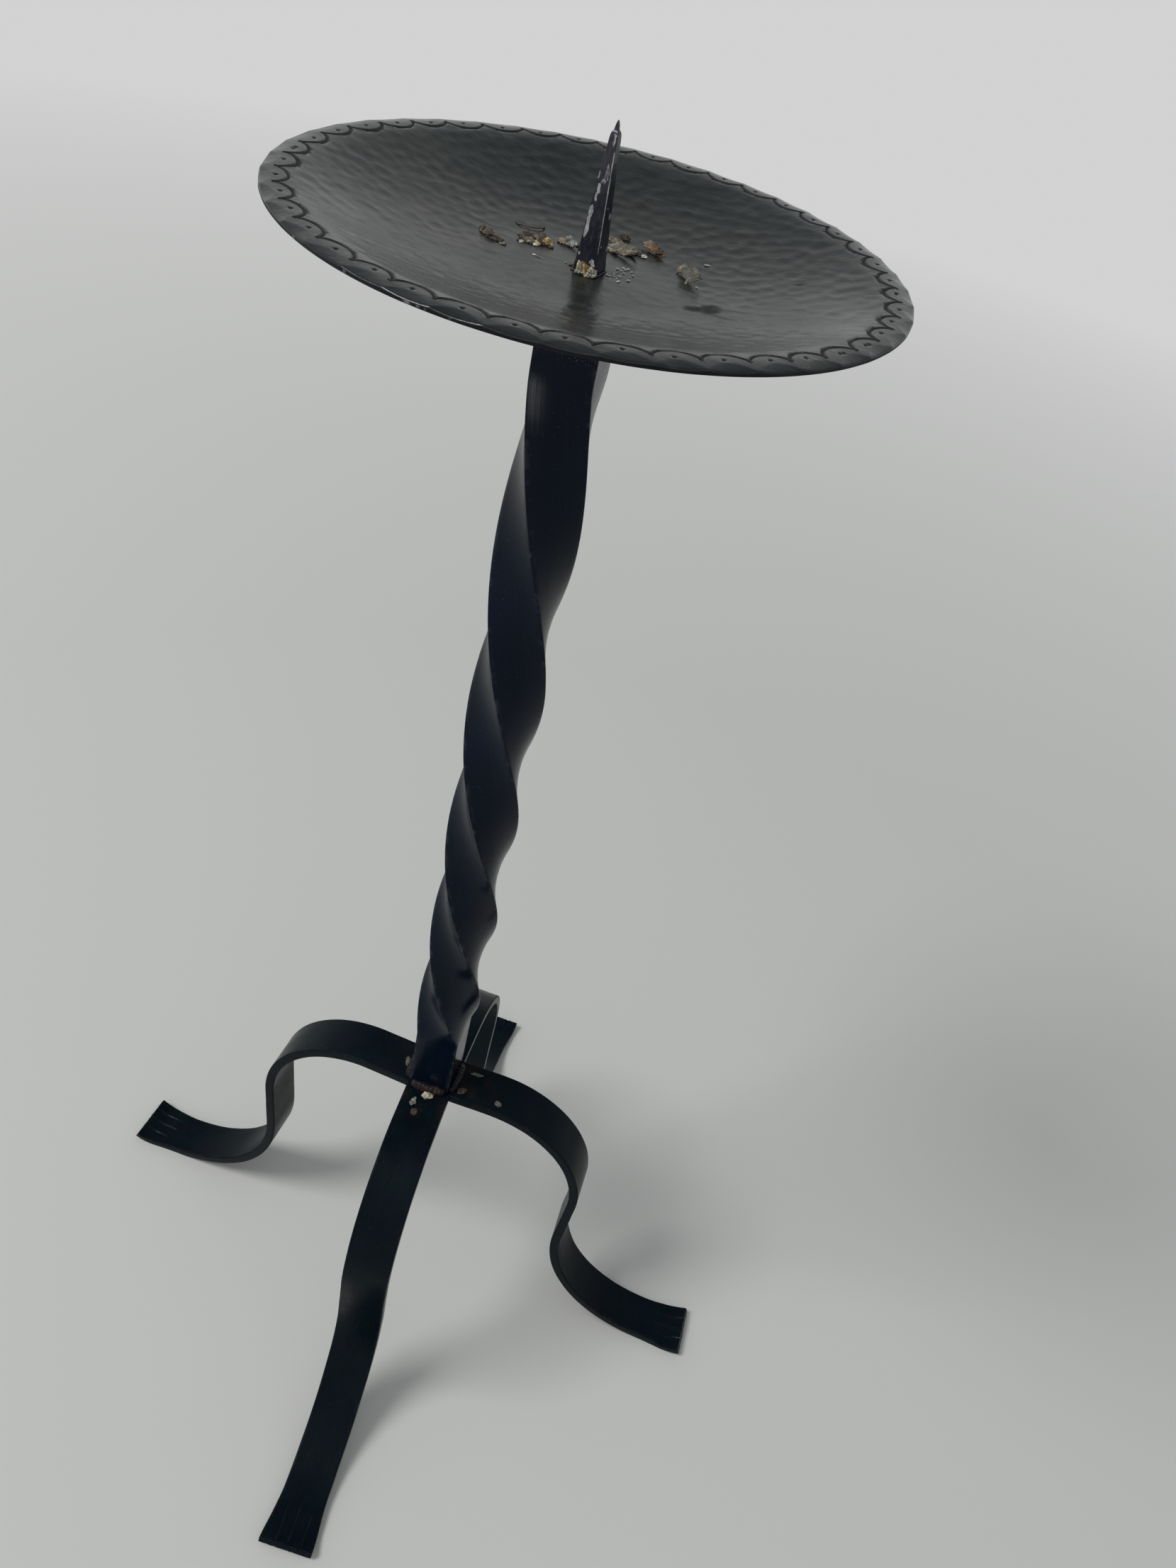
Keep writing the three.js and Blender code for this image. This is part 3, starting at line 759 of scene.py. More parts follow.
def hammerSpike(piece):
    p = spikeShape
    points = readPoints(piece)
    foot = panShape["floor"]
    up = np.clip((points[:, 2] - foot) / p["height"], 0, 1)
    root = 1 - p["nib"] / p["height"]
    half = np.interp(up, [0] + [root + lift * mm / p["height"] for lift, _ in p["shoulder"]],
                     [p["base"] / 2] + [p["neck"] * wide / 2 for _, wide in p["shoulder"]])
    dents = roughness3(points * [1, 1, 0.7], 0.0055, 2) * 0.55 + roughness3(points, 0.0025, 4) * 0.2
    out = points[:, :2] / np.maximum(np.linalg.norm(points[:, :2], axis=1, keepdims=True), 1e-6)
    visible = (points[:, 2] > foot + 0.3 * mm).astype(float)
    size = 0.30 * mm * dents * visible * (0.35 + 0.65 * np.clip(half / (5 * mm), 0, 1))
    points[:, :2] += out * size[:, None]
    # the point leans a little to the right and back
    lean = up ** 1.6 * visible
    points[:, 0] += 0.5 * mm * lean
    points[:, 1] += 0.3 * mm * lean
    writePoints(piece, points)
    across = points[:, :2] / half[:, None]
    onFace = {"left": across[:, 1] < -0.8, "right": across[:, 0] > 0.8}
    place = {"left": (across[:, 0] + 1) / 2, "right": (across[:, 1] + 1) / 2}
    ragged = 1 + 0.75 * roughness3(points, 0.0016, 12) + 0.4 * roughness3(points, 0.0007, 13)
    worn = np.zeros(len(points))
    for face, patches in spikePatches.items():
        for t, high, wide, tall, strength in patches:
            away = ((place[face] - t) / wide) ** 2 + ((up - high) / tall) ** 2
            worn = np.maximum(worn, strength * np.clip(1.6 - 1.1 * away * ragged, 0, 1) * onFace[face])
    # a painted highlight: a light line along the front ridge, carried in the worn share
    ridgeHighlight = smoothStep(0.88, 0.96, across[:, 0]) * smoothStep(0.88, 0.96, -across[:, 1])
    ridgeHighlight = ridgeHighlight * (0.5 + 0.5 * smoothStep(0.2, 0.5, up))
    worn = np.maximum(worn, np.clip(ridgeHighlight * (0.95 + 0.35 * roughness3(points, 0.006, 15)), 0, 1))
    writeShare(piece, "worn", worn * visible)
    piece.data.transform(Matrix.Rotation(math.radians(p["turn"]), 4, "Z"))


spike = forgeSpike()
hammerSpike(spike)
smoothPiece(spike, 42)
finishPiece(spike, spikeIron, "black_iron", "pricket_spike")
print("spike forged:", len(spike.data.polygons), "faces")


# twisted stem

stemShape = {
    "side": 33 * mm, "corner": 0.9 * mm, "foot": 258 * mm, "top": 901.7 * mm,
    "straightTop": 47 * mm, "straightFoot": 71 * mm, "twist": 450, "ease": 1.23,
    "rings": 330, "columns": 11,
}


def mapBar(piece, wide):
    # a flat map of each face: across the bar in u, along it (Z before bending) in v, in metres
    mesh = piece.data
    layer = mesh.uv_layers.new(name="bar")
    spots = np.zeros((len(mesh.loops), 2))
    for face in mesh.polygons:
        n = face.normal
        if abs(n.x) >= abs(n.y):
            axis, shelf = 1, (0 if n.x > 0 else 2)
        else:
            axis, shelf = 0, (1 if n.y > 0 else 3)
        for loop in face.loop_indices:
            co = mesh.vertices[mesh.loops[loop].vertex_index].co
            spots[loop] = (co[axis] + shelf * wide * 1.5, co.z)
    layer.data.foreach_set("uv", spots.ravel())


def barStock(name, wide, thick, low, high, corner, rings, columns, sideColumns):
    # straight bar along Z, corners rounded, cut into rings along it and columns across it
    deselectAll()
    bpy.ops.mesh.primitive_cube_add(size=1, location=(0, 0, (low + high) / 2), scale=(wide, thick, high - low))
    piece = startPiece(name)
    bpy.ops.object.mode_set(mode="EDIT")
    selectEdges(piece, lambda a, b: abs(a.z - b.z) > 1 * mm)
    bpy.ops.mesh.bevel(offset=corner, offset_type="OFFSET", segments=3, profile=0.5, affect="EDGES")
    selectEdges(piece, lambda a, b: abs(a.z - b.z) > 1 * mm)
    bpy.ops.mesh.subdivide(number_cuts=rings)
    selectEdges(piece, lambda a, b: abs(a.z - b.z) < 1e-6 and abs(a.y - b.y) < 1e-6 and abs(a.x - b.x) > wide * 0.5)
    bpy.ops.mesh.subdivide(number_cuts=columns)
    selectEdges(piece, lambda a, b: abs(a.z - b.z) < 1e-6 and abs(a.x - b.x) < 1e-6 and abs(a.y - b.y) > thick * 0.5)
    bpy.ops.mesh.subdivide(number_cuts=sideColumns)
    bpy.ops.object.mode_set(mode="OBJECT")
    return piece


def twistAt(z):
    p = stemShape
    high = p["top"] - p["straightTop"]
    low = p["foot"] + p["straightFoot"]
    share = np.clip((high - z) / (high - low), 0, 1)
    return np.radians(p["twist"] * share ** p["ease"])


def cornerShare(points, halfWide, halfThick):
    # 1 on the bar's long corners, 0 a few millimetres away from them
    toSide = halfWide - np.abs(points[:, 0])
    toFace = halfThick - np.abs(points[:, 1])
    return np.clip(1 - np.maximum(toSide, toFace) / (2.2 * mm), 0, 1)


def twistStem():
    p = stemShape
    piece = barStock("stem_twisted", p["side"], p["side"], p["foot"], p["top"], p["corner"],
                     p["rings"], p["columns"], p["columns"])
    mapBar(piece, p["side"])
    points = readPoints(piece)
    half = p["side"] / 2
    writeShare(piece, "edge", cornerShare(points, half, half))
    front = points[:, 1] < -half + 0.5 * mm
    height = points[:, 2]
    writeShare(piece, "dust", front * smoothStep(858 * mm, 874 * mm, height))
    toEdge = 1 - smoothStep(2 * mm, 13 * mm, points[:, 0] + half)
    scuff = smoothStep(826 * mm, 846 * mm, height) * (1 - smoothStep(850 * mm, 858 * mm, height))
    writeShare(piece, "scuff", front * toEdge * scuff)
    away = points[:, :2] / np.linalg.norm(points[:, :2], axis=1, keepdims=True)
    soft = roughness3(points * [1, 1, 0.5], 0.016, 3)
    fine = roughness3(points, 0.004, 6)
    inside = (points[:, 2] < p["top"] - 0.5 * mm) & (points[:, 2] > p["foot"] + 0.5 * mm)
    points[:, :2] += away * ((0.14 * soft + 0.035 * fine) * mm * inside - 0.12 * mm)[:, None]
    x, y = turned(points[:, 0], points[:, 1], twistAt(points[:, 2]))
    writePoints(piece, np.stack([x, y, points[:, 2]], axis=1))
    return piece


stem = twistStem()
smoothPiece(stem, 35)
finishPiece(stem, stemPaint, "black_iron", "stem")
print("stem twisted:", len(stem.data.polygons), "faces")


# legs

legShape = {
    "width": 36 * mm, "thickness": 8 * mm, "corner": 0.8 * mm, "top": 266 * mm, "reach": 275.5 * mm,
    "rootEnd": 50 * mm, "shoulder": 84 * mm, "lean": 3, "flat": 10 * mm, "tipRadius": 45 * mm, "tipLift": 27,
    "flare": 46 * mm, "flareWidth": 43 * mm, "flareThickness": 5.5 * mm,
    "chiselPlaces": (-10 * mm, 0, 10 * mm), "chiselLength": 38 * mm, "chiselDepth": 1.3 * mm, "chiselHalf": 1.5 * mm,
    "rings": 260, "columns": 39,
}
legTurns = {"right": (0, 1.1), "back": (90, 0.0), "left": (180, -3.8), "front": (270, 2.7)}    # quarter, and off square


def legBends():
    # the bar's underside as a smith's list of runs: (kind, length, radius, degrees)
    p = legShape
    sweep = math.radians(90 + p["lean"])
    stemFoot = p["top"] - p["thickness"]
    tipRun = p["tipRadius"] * math.sin(math.radians(p["tipLift"]))
    drop = stemFoot - p["shoulder"] * (1 - math.cos(sweep))
    spread = p["reach"] - tipRun - p["flat"] - p["rootEnd"] - p["shoulder"] * math.sin(sweep)
    lean, inward = math.cos(math.radians(p["lean"])), math.sin(math.radians(p["lean"]))
    foot = (spread * lean + drop * inward) / (math.sin(sweep) * lean + (1 - math.cos(sweep)) * inward)
    waist = (drop - foot * (1 - math.cos(sweep))) / lean
    return [("run", p["rootEnd"], 0), ("bend", p["shoulder"], -(90 + p["lean"])), ("run", waist, 0),
            ("bend", foot, 90 + p["lean"]), ("run", p["flat"], 0), ("bend", p["tipRadius"], p["tipLift"])]


def legWalk():
    # fine steps along the underside: length walked, x, z, heading
    p = legShape
    x, z, heading, length = 0.0, p["top"] - p["thickness"], 0.0, 0.0
    walk = [(length, x, z, heading)]
    for kind, size, degrees in legBends():
        if kind == "run":
            x, z, length = x + size * math.cos(heading), z + size * math.sin(heading), length + size
            walk.append((length, x, z, heading))
            continue
        steps = 90
        turn = math.radians(degrees) / steps
        for _ in range(steps):
            step = size * abs(turn)
            x += step * math.cos(heading + turn / 2)
            z += step * math.sin(heading + turn / 2)
            heading += turn
            length += step
            walk.append((length, x, z, heading))
    return np.array(walk)


def spreadColumns(x, half):
    # the columns crowd together where the chisel cuts run
    even = np.linspace(-1, 1, legShape["columns"] + 2)
    weight = np.ones(len(even) - 1)
    middles = (even[1:] + even[:-1]) / 2 * half
    for place in legShape["chiselPlaces"]:
        weight *= np.where(np.abs(middles - place) < 2.1 * mm, 0.42, 1)
    places = np.concatenate([[0], np.cumsum(weight)])
    places = places / places[-1] * 2 - 1
    inner = half - legShape["corner"]
    inFlat = np.abs(x) <= inner + 1e-7
    return np.where(inFlat, np.interp(x / inner, even, places) * inner, x)


def bendLeg(name, seed, quarter, offSquare, stock):
    p = legShape
    piece = stock.copy()
    piece.data = stock.data.copy()
    piece.name = piece.data.name = name
    bpy.context.scene.collection.objects.link(piece)
    points = readPoints(piece)
    walk = legWalk()
    total = walk[-1, 0]
    half = p["width"] / 2
    across = spreadColumns(points[:, 0], half)
    up = points[:, 1] + p["thickness"] / 2
    along = points[:, 2]
    writeShare(piece, "edge", cornerShare(points, half, p["thickness"] / 2))

    # the root is cut square to the stem's face, with mitres between neighbours
    off = math.radians(offSquare)
    near = stemShape["side"] / 2 + 0.3 * mm
    root = np.full(len(points), near)
    for _ in range(4):
        side = root * math.sin(off) + across * math.cos(off)
        rootHere = np.maximum(near, np.abs(side) + 0.22 * mm)
        root = (rootHere + across * math.sin(off)) / math.cos(off)
    along = root + (total - root) * (along / total)

    flare = smoothStep(total - p["flare"], total, along)
    wide = 1 + (p["flareWidth"] / p["width"] - 1) * flare
    thick = p["thickness"] + (p["flareThickness"] - p["thickness"]) * flare
    spread = across * wide
    up = up / p["thickness"] * thick
    # chisel cuts on the upper face, deepest at the tip
    upper = smoothStep(0.55, 0.95, up / thick)
    deep = p["chiselDepth"] * np.clip(1 - (total - along) / p["chiselLength"], 0, 1)
    for k, place in enumerate(p["chiselPlaces"]):
        wander = place + 0.35 * mm * math.sin(seed * 2.3 + k * 1.7)
        wander = wander + 0.010 * (total - along) * math.sin(seed + k * 2.1)
        slope = p["chiselDepth"] / p["chiselHalf"]
        up = up - np.maximum(0, deep - np.abs(spread - wander) * slope) * upper
        burr = np.exp(-((np.abs(spread - wander) - 2.0 * mm) / (0.7 * mm)) ** 2)
        up = up + 0.16 * mm * upper * burr * (deep / p["chiselDepth"])

    # hammer marks, and a tip that was cut by hand
    spot = np.stack([spread, up * 0.3, along * 0.8], axis=1)
    soft = roughness3(spot, 0.014, seed + 20)
    fine = roughness3(spot, 0.004, seed + 40)
    faceOut = np.where(up > thick / 2, 1.0, -1.0)
    restZone = smoothStep(total - 62 * mm, total - 42 * mm, along)
    restZone = restZone * (1 - smoothStep(total - 20 * mm, total - 12 * mm, along))
    upMove = (0.16 * soft + 0.03 * fine) * mm * np.where(faceOut > 0, 1.0, 0.6 * (1 - restZone))
    up = up + upMove - np.where(faceOut > 0, 0.12, -0.10 * (1 - restZone)) * mm
    edgeWave = roughness3(np.stack([np.sign(spread) * 0.05, along, along * 0], axis=1), 0.03, seed + 60)
    toEdge = smoothStep(0.7, 1.0, np.abs(spread) / (half * wide))
    spread = spread + np.sign(spread) * toEdge * (0.18 * edgeWave - 0.1) * mm
    ragged = roughness3(np.stack([spread, up, along * 0], axis=1), 0.003, seed + 80)
    ragged = ragged * smoothStep(total - 3 * mm, total, along)
    along = np.minimum(along + 0.35 * mm * ragged - 0.25 * mm * smoothStep(total - 2 * mm, total, along), total)

    x = np.interp(along, walk[:, 0], walk[:, 1])
    z = np.interp(along, walk[:, 0], walk[:, 2])
    heading = np.interp(along, walk[:, 0], walk[:, 3])
    x = x - np.sin(heading) * up
    z = z + np.cos(heading) * up
    bloom = np.clip(0.15 + 1.4 * roughness3(np.stack([x + seed * 0.1, spread, z], axis=1), 0.012, 90), 0, 1)
    bloom = bloom * (1 - smoothStep(32 * mm, 58 * mm, x))
    writeShare(piece, "rust", bloom * (1.0 if quarter in (0, 270) else 0.35))
    writePoints(piece, np.stack([*turned(x, spread, math.radians(quarter) + off), z], axis=1))
    return piece


legTotal = float(legWalk()[-1, 0])
legStock = barStock("legStock", legShape["width"], legShape["thickness"], 0, legTotal, legShape["corner"],
                    legShape["rings"], legShape["columns"], 4)
mapBar(legStock, legShape["width"])
for seed, (side, (quarter, offSquare)) in enumerate(legTurns.items()):
    leg = bendLeg(f"leg_{side}_bent", seed + 1, quarter, offSquare, legStock)
    closeUp(leg)
    smoothPiece(leg, 35)
    finishPiece(leg, legPaint, "black_iron", f"leg_{side}")
bpy.data.objects.remove(legStock)
print("legs bent:", len(leg.data.polygons), "faces each")


# welds

weldShape = {
    "legLength": 28 * mm, "legSize": 6 * mm, "seamLength": 25 * mm, "seamWidth": 6 * mm, "seamHeight": 2.4 * mm,
    "panSize": 4 * mm, "spikeSize": 0.7 * mm, "ripple": 3.4 * mm, "gap": 0.3 * mm,
}


def crossBead(name, seed, quarter, length, size, x, z, hanging):
    # a bead across a leg's root: a ball drawn out along the joint, flattened where it meets the bars
    deselectAll()
    bpy.ops.mesh.primitive_uv_sphere_add(segments=28, ring_count=70, radius=1, location=(0, 0, 0))
    piece = startPiece(name)
    points = readPoints(piece)
    along = points[:, 2] * length / 2
    ring = np.hypot(points[:, 0], points[:, 1])
    swell = ring ** 0.45                       # blunt ends
    angle = np.arctan2(points[:, 1], points[:, 0])
    ripple = 0.5 + 0.5 * np.cos(along / weldShape["ripple"] * math.tau + 1.1 * np.cos(angle - 0.8) + seed)
    lumps = roughness3(np.stack([along, np.cos(angle) * size, np.sin(angle) * size], axis=1), 0.006, seed + 11)
    body = swell * (0.90 + 0.07 * ripple + 0.10 * lumps)
    if hanging:
        a = np.cos(angle) * size / 2 * body
        b = np.minimum(0, -np.sin(angle) * weldShape["seamHeight"] * body)
    else:
        a = np.maximum(0, (0.30 + 0.70 * np.cos(angle)) * size * body)
        b = np.maximum(0, (0.30 + 0.70 * np.sin(angle)) * size * body)
    writePoints(piece, np.stack([*turned(x + a, along, math.radians(quarter)), z + b], axis=1))
    closeUp(piece, 0.02 * mm)
    smoothPiece(piece, 60)
    return piece


def ringBead(name, seed, side, size, z, up, turn):
    # a bead right round a square bar: a ring pressed out to the square
    deselectAll()
    bpy.ops.mesh.primitive_torus_add(major_segments=220, minor_segments=20, major_radius=1, minor_radius=0.25,
                                     location=(0, 0, 0))
    piece = startPiece(name)
    points = readPoints(piece)
    around = np.arctan2(points[:, 1], points[:, 0])
    section = np.arctan2(points[:, 2], np.hypot(points[:, 0], points[:, 1]) - 1)
    inner = side / 2 + weldShape["gap"]
    quarter = np.round(around / (math.pi / 2))
    rest = around - quarter * math.pi / 2
    corner = size * 0.6
    slide = np.clip(np.tan(rest), -1, 1) * inner
    run = quarter * 2 * inner + slide
    ripple = 0.5 + 0.5 * np.cos(run / weldShape["ripple"] * math.tau + 1.1 * np.cos(section - 0.8) + seed)
    place = np.stack([np.cos(around) * inner, np.sin(around) * inner, np.sin(section) * size], axis=1)
    lumps = roughness3(place, 0.005, seed + 31)
    body = size * (0.88 + 0.07 * ripple + 0.12 * lumps)
    a = np.maximum(0, (0.30 + 0.70 * np.cos(section)) * body)
    b = np.maximum(0, (0.30 + 0.70 * np.sin(section)) * body)
    # away from the square's side, and round its corners
    past = np.clip((np.abs(slide) - (inner - corner)) / corner, 0, 1)
    px = inner + a * np.cos(past * math.pi / 4)
    py = slide + a * (np.sign(slide) * np.sin(past * math.pi / 4))
    writePoints(piece, np.stack([*turned(px, py, quarter * math.pi / 2), z + up * b], axis=1))
    piece.data.transform(Matrix.Rotation(math.radians(turn), 4, "Z"))
    closeUp(piece, 0.01 * mm)
    smoothPiece(piece, 60)
    return piece


gap = weldShape["gap"]
rootX = stemShape["side"] / 2 + gap
for seed, (side, (quarter, _)) in enumerate(legTurns.items()):
    weld = crossBead(f"weld_{side}_bead", seed + 1, quarter, weldShape["legLength"], weldShape["legSize"],
                     rootX, legShape["top"] + gap, False)
    finishPiece(weld, hubWeld, "weld_iron", f"weld_{side}")
    seam = crossBead(f"seam_{side}_bead", seed + 5, quarter, weldShape["seamLength"], weldShape["seamWidth"],
                     rootX, stemShape["foot"] - gap, True)
    finishPiece(seam, plainWeld, "weld_iron", f"seam_{side}")
panUnderside = panShape["floor"] - panShape["thickness"]
panWeld = ringBead("pan_weld_bead", 3, stemShape["side"], weldShape["panSize"], panUnderside - gap, -1, 0)
finishPiece(panWeld, plainWeld, "weld_iron", "pan_weld")
spikeWeld = ringBead("spike_weld_bead", 8, spikeShape["base"], weldShape["spikeSize"], panShape["floor"] + 0.1 * mm, 1,
                     spikeShape["turn"])
finishPiece(spikeWeld, panPaint, "weld_iron", "spike_weld")
print("welds run")


# flakes of rust and old wax on the dish and on the hub

# (name, darkest, middle, lightest colour)
crumbLooks = {
    "brown": ("rustBrown", (0.012, 0.009, 0.008), (0.045, 0.030, 0.020), (0.13, 0.10, 0.065)),
    "orange": ("rustOrange", (0.035, 0.014, 0.007), (0.135, 0.060, 0.020), (0.26, 0.18, 0.09)),
    "grey": ("waxGrey", (0.05, 0.05, 0.045), (0.16, 0.155, 0.135), (0.45, 0.44, 0.40)),
    "yellow": ("waxYellow", (0.09, 0.05, 0.015), (0.36, 0.26, 0.09), (0.62, 0.56, 0.36)),
    "white": ("waxWhite", (0.25, 0.25, 0.24), (0.50, 0.50, 0.47), (0.75, 0.75, 0.72), 0.5),
    "olive": ("flakeOlive", (0.03, 0.03, 0.022), (0.095, 0.09, 0.068), (0.20, 0.19, 0.15)),
    "beige": ("flakeBeige", (0.038, 0.030, 0.022), (0.125, 0.102, 0.073), (0.29, 0.255, 0.19)),
    "amber": ("waxAmber", (0.06, 0.028, 0.008), (0.22, 0.12, 0.03), (0.48, 0.36, 0.16)),
    "cream": ("waxCream", (0.14, 0.12, 0.08), (0.42, 0.38, 0.28), (0.66, 0.63, 0.54)),
}
crumbKinds = {kind: crumbFinish(*look) for kind, look in crumbLooks.items()}


def surfaceAt(x, y):
    return panShape["floor"] + float(panHeight(math.hypot(x, y)))


def lumps(place, *waves):
    # 1, give or take a few waves of noise: (amount, fineness, shift)
    return sum((amount * noise.noise(place * fine + Vector(shift)) for amount, fine, shift in waves), 1)


def makeCrumb(rng, x, y, z, length, width, height, turn, rise=0.0):
    # one ragged flake: a ball pressed flat, broken along its outline, resting at z
    bpy.ops.mesh.primitive_ico_sphere_add(subdivisions=3, radius=0.5, location=(0, 0, 0))
    crumb = bpy.context.object
    seed = rng.uniform(0, 90)
    for vertex in crumb.data.vertices:
        p = vertex.co.copy()
        broken = lumps(p, (0.55, 2.4, (seed, 0, 0)), (0.30, 5.5, (0, seed, 0)))
        p.x *= length * broken
        p.y *= width * broken
        flat = math.copysign(abs(p.z) ** 0.6, p.z) * 0.5 + 0.33
        p.z = flat * height * lumps(p, (0.5, 300, (0, 0, seed)))
        vertex.co = p
    low = min(v.co.z for v in crumb.data.vertices)
    place = Matrix.Translation((x, y, z - low * 0.6)) @ Matrix.Rotation(turn, 4, "Z")
    crumb.data.transform(place @ Matrix.Rotation(rise, 4, "Y"))
    return crumb


def makePlate(rng, x, y, z, length, width, thick, turn, tilt, roll):
    # one scale of rust: a thin plate with a broken outline and a crumbly face, leaning as it fell
    bpy.ops.mesh.primitive_circle_add(vertices=40, radius=1, fill_type="TRIFAN", location=(0, 0, 0))
    plate = bpy.context.object
    bpy.ops.object.mode_set(mode="EDIT")
    bpy.ops.mesh.select_all(action="SELECT")
    bpy.ops.mesh.subdivide(number_cuts=2)
    bpy.ops.mesh.extrude_region_move(TRANSFORM_OT_translate={"value": (0, 0, 1)})
    bpy.ops.mesh.select_all(action="SELECT")
    bpy.ops.mesh.normals_make_consistent(inside=False)
    bpy.ops.object.mode_set(mode="OBJECT")
    seed = rng.uniform(0, 90)
    place = Matrix.Translation((x, y, z)) @ Matrix.Rotation(turn, 4, "Z")
    place = place @ Matrix.Rotation(tilt, 4, "X") @ Matrix.Rotation(roll, 4, "Y")
    for vertex in plate.data.vertices:
        p = vertex.co
        around = Vector((p.x, p.y, 0)).normalized() if p.xy.length > 1e-6 else Vector()
        broken = lumps(around, (0.30, 1.3, (seed, 0, 0)), (0.30, 3.4, (0, seed, 0)), (0.25, 9, (seed, seed, 0)))
        flat = Vector((p.x * length / 2 * broken, p.y * width / 2 * broken, 0))
        warp = noise.noise(flat / (4.5 * mm) + Vector((0, 0, seed))) * 0.9
        crumble = noise.noise(flat / (0.9 * mm) + Vector((seed, 0, p.z * 4))) * 0.35
        flat.z = thick * ((p.z - 0.5) * (1 - 0.45 * p.xy.length ** 3) + warp + crumble)
        vertex.co = place @ flat
    low = min(v.co.z for v in plate.data.vertices)
    plate.data.transform(Matrix.Translation((0, 0, z - low - 0.25 * mm)))
    return plate


def heap(name, kind, crumbs):
    # crumbs of one colour joined into one piece
    pickUp(crumbs[0])
    for crumb in crumbs[1:]:
        crumb.select_set(True)
    if len(crumbs) > 1:
        bpy.ops.object.join()
    piece = bpy.context.object
    piece.name = piece.data.name = name
    smoothPiece(piece, 38)
    finishPiece(piece, crumbKinds[kind], "weld_iron")


# plates: piece, kind, then (x, y, length, width, thickness, turn, tilt), millimetres on the dish and degrees
dishPlates = [
    ("flakeLeft", "brown", (-53.5, 6.0, 8.5, 4.2, 0.9, -28, 30), (-47.5, 3.0, 8.0, 4.0, 0.8, -20, 24),
     (-56.5, 8.0, 4.0, 3.0, 0.8, -50, 48)),
    ("flakeLeft", "beige", (-50.5, 5.1, 6.0, 2.0, 0.6, -25, 40)),
    ("flakeLeft", "grey", (-43.2, 0.9, 3.2, 2.2, 0.8, 0, 20)),
    ("cluster", "brown", (-36.6, 16.5, 7.6, 5.2, 1.1, 20, 32), (-31.5, 20.0, 8.0, 5.0, 1.1, -15, 36),
     (-27.5, 17.5, 6.0, 4.2, 1.1, 35, 24)),
    ("cluster", "beige", (-34.6, 14.5, 5.0, 3.4, 0.9, 5, 28)),
    ("cluster", "brown", (-35.0, 21.0, 5.6, 3.4, 0.9, -30, 20)),
    ("cluster", "yellow", (-26.4, 18.0, 5.2, 3.8, 1.0, 10, 36), (-30.2, 15.0, 3.8, 3.0, 0.9, 50, 32)),
    ("cluster", "beige", (-32.6, 17.6, 4.0, 3.6, 0.9, 0, 44)),
    ("bits", "beige", (-20.5, 27.5, 6.0, 4.6, 1.1, 15, 26)),
    ("bits", "grey", (-16.0, 26.0, 5.5, 4.2, 1.1, -20, 34), (-18.5, 30.0, 5.0, 3.6, 0.9, 30, 42)),
    ("bits", "brown", (-21.5, 31.0, 3.4, 2.6, 0.9, 0, 34)),
    ("flakesMiddle", "beige", (8.0, 34.5, 14.5, 6.2, 1.2, -12, 22), (6.0, 43.5, 11.5, 5.8, 1.1, -20, 24)),
    ("flakesMiddle", "grey", (1.5, 38.0, 6.0, 4.6, 1.0, 15, 28)),
    ("flakesMiddle", "beige", (-2.5, 49.0, 7.5, 3.4, 0.9, 12, 28)),
    ("flakesMiddle", "brown", (3.0, 56.0, 5.0, 3.4, 0.9, 0, 30), (10.5, 38.5, 8.5, 3.6, 0.9, -25, 28)),
    ("flakesMiddle", "olive", (12.5, 42.0, 5.0, 3.8, 1.0, 30, 40)),
    ("chip", "beige", (17.0, 52.0, 6.5, 5.6, 1.1, -20, 44)),
    ("chip", "orange", (20.0, 49.5, 6.6, 4.4, 1.1, -28, 34), (24.0, 46.8, 5.6, 3.2, 1.0, -35, 28)),
    ("chip", "brown", (21.0, 48.6, 8.6, 4.6, 0.9, -30, 24)),
    ("chip", "yellow", (18.6, 51.4, 4.0, 2.8, 0.9, -20, 40)),
    ("flakeFar", "olive", (44.5, 24.5, 11.5, 7.2, 0.9, -42, 42)),
    ("flakeFar", "beige", (38.0, 33.5, 5.2, 5.0, 0.9, -60, 50), (41.0, 29.0, 6.0, 3.0, 0.8, -42, 34)),
]
# crumbs: piece, kind, then (x, y, length, width, height, turn)
dishCrumbs = [
    ("cluster", "cream", (-34.0, 14.0, 2.8, 2.3, 1.7, 0)),
    ("cluster", "white", (-30.6, 12.6, 2.7, 2.1, 1.5, 30), (-37.4, 11.4, 2.6, 1.8, 1.2, 60),
     (-29.0, 20.5, 2.2, 1.8, 1.8, 0)),
    ("cluster", "white", (-27.0, -0.6, 1.7, 1.0, 0.6, -20)),
    ("cluster", "grey", (-24.0, -1.6, 3.0, 0.8, 0.5, -8)),
    ("cluster", "beige", (-23.5, 16.0, 2.2, 1.6, 1.2, 0)),
    ("bits", "white", (-22.8, 30.0, 2.4, 2.0, 1.8, 0)),
    ("bits", "grey", (-13.6, 29.5, 2.4, 1.8, 1.4, 20)),
    ("chip", "white", (17.2, 40.6, 2.8, 2.3, 1.8, 0)),
    ("chip", "brown", (14.6, 41.4, 2.4, 1.8, 1.4, 0)),
    ("speck", "white", (47.7, 48.5, 2.6, 1.2, 0.7, 10)),
    ("speck", "beige", (-9.5, 0.5, 3.0, 1.4, 0.9, 20)),
    ("speck", "grey", (-11.5, 1.5, 1.6, 1.0, 0.7, 0)),
    ("speck", "white", (49.0, 18.5, 1.2, 0.9, 0.6, 0), (43.0, 21.0, 1.0, 0.8, 0.6, 0)),
]
# fine white dust to the right of the spike's foot
dustLook = {"count": 30, "x": 1.0 * mm, "y": 6 * mm, "near": 9, "far": 20, "fan": 0.9, "squeeze": 0.8}
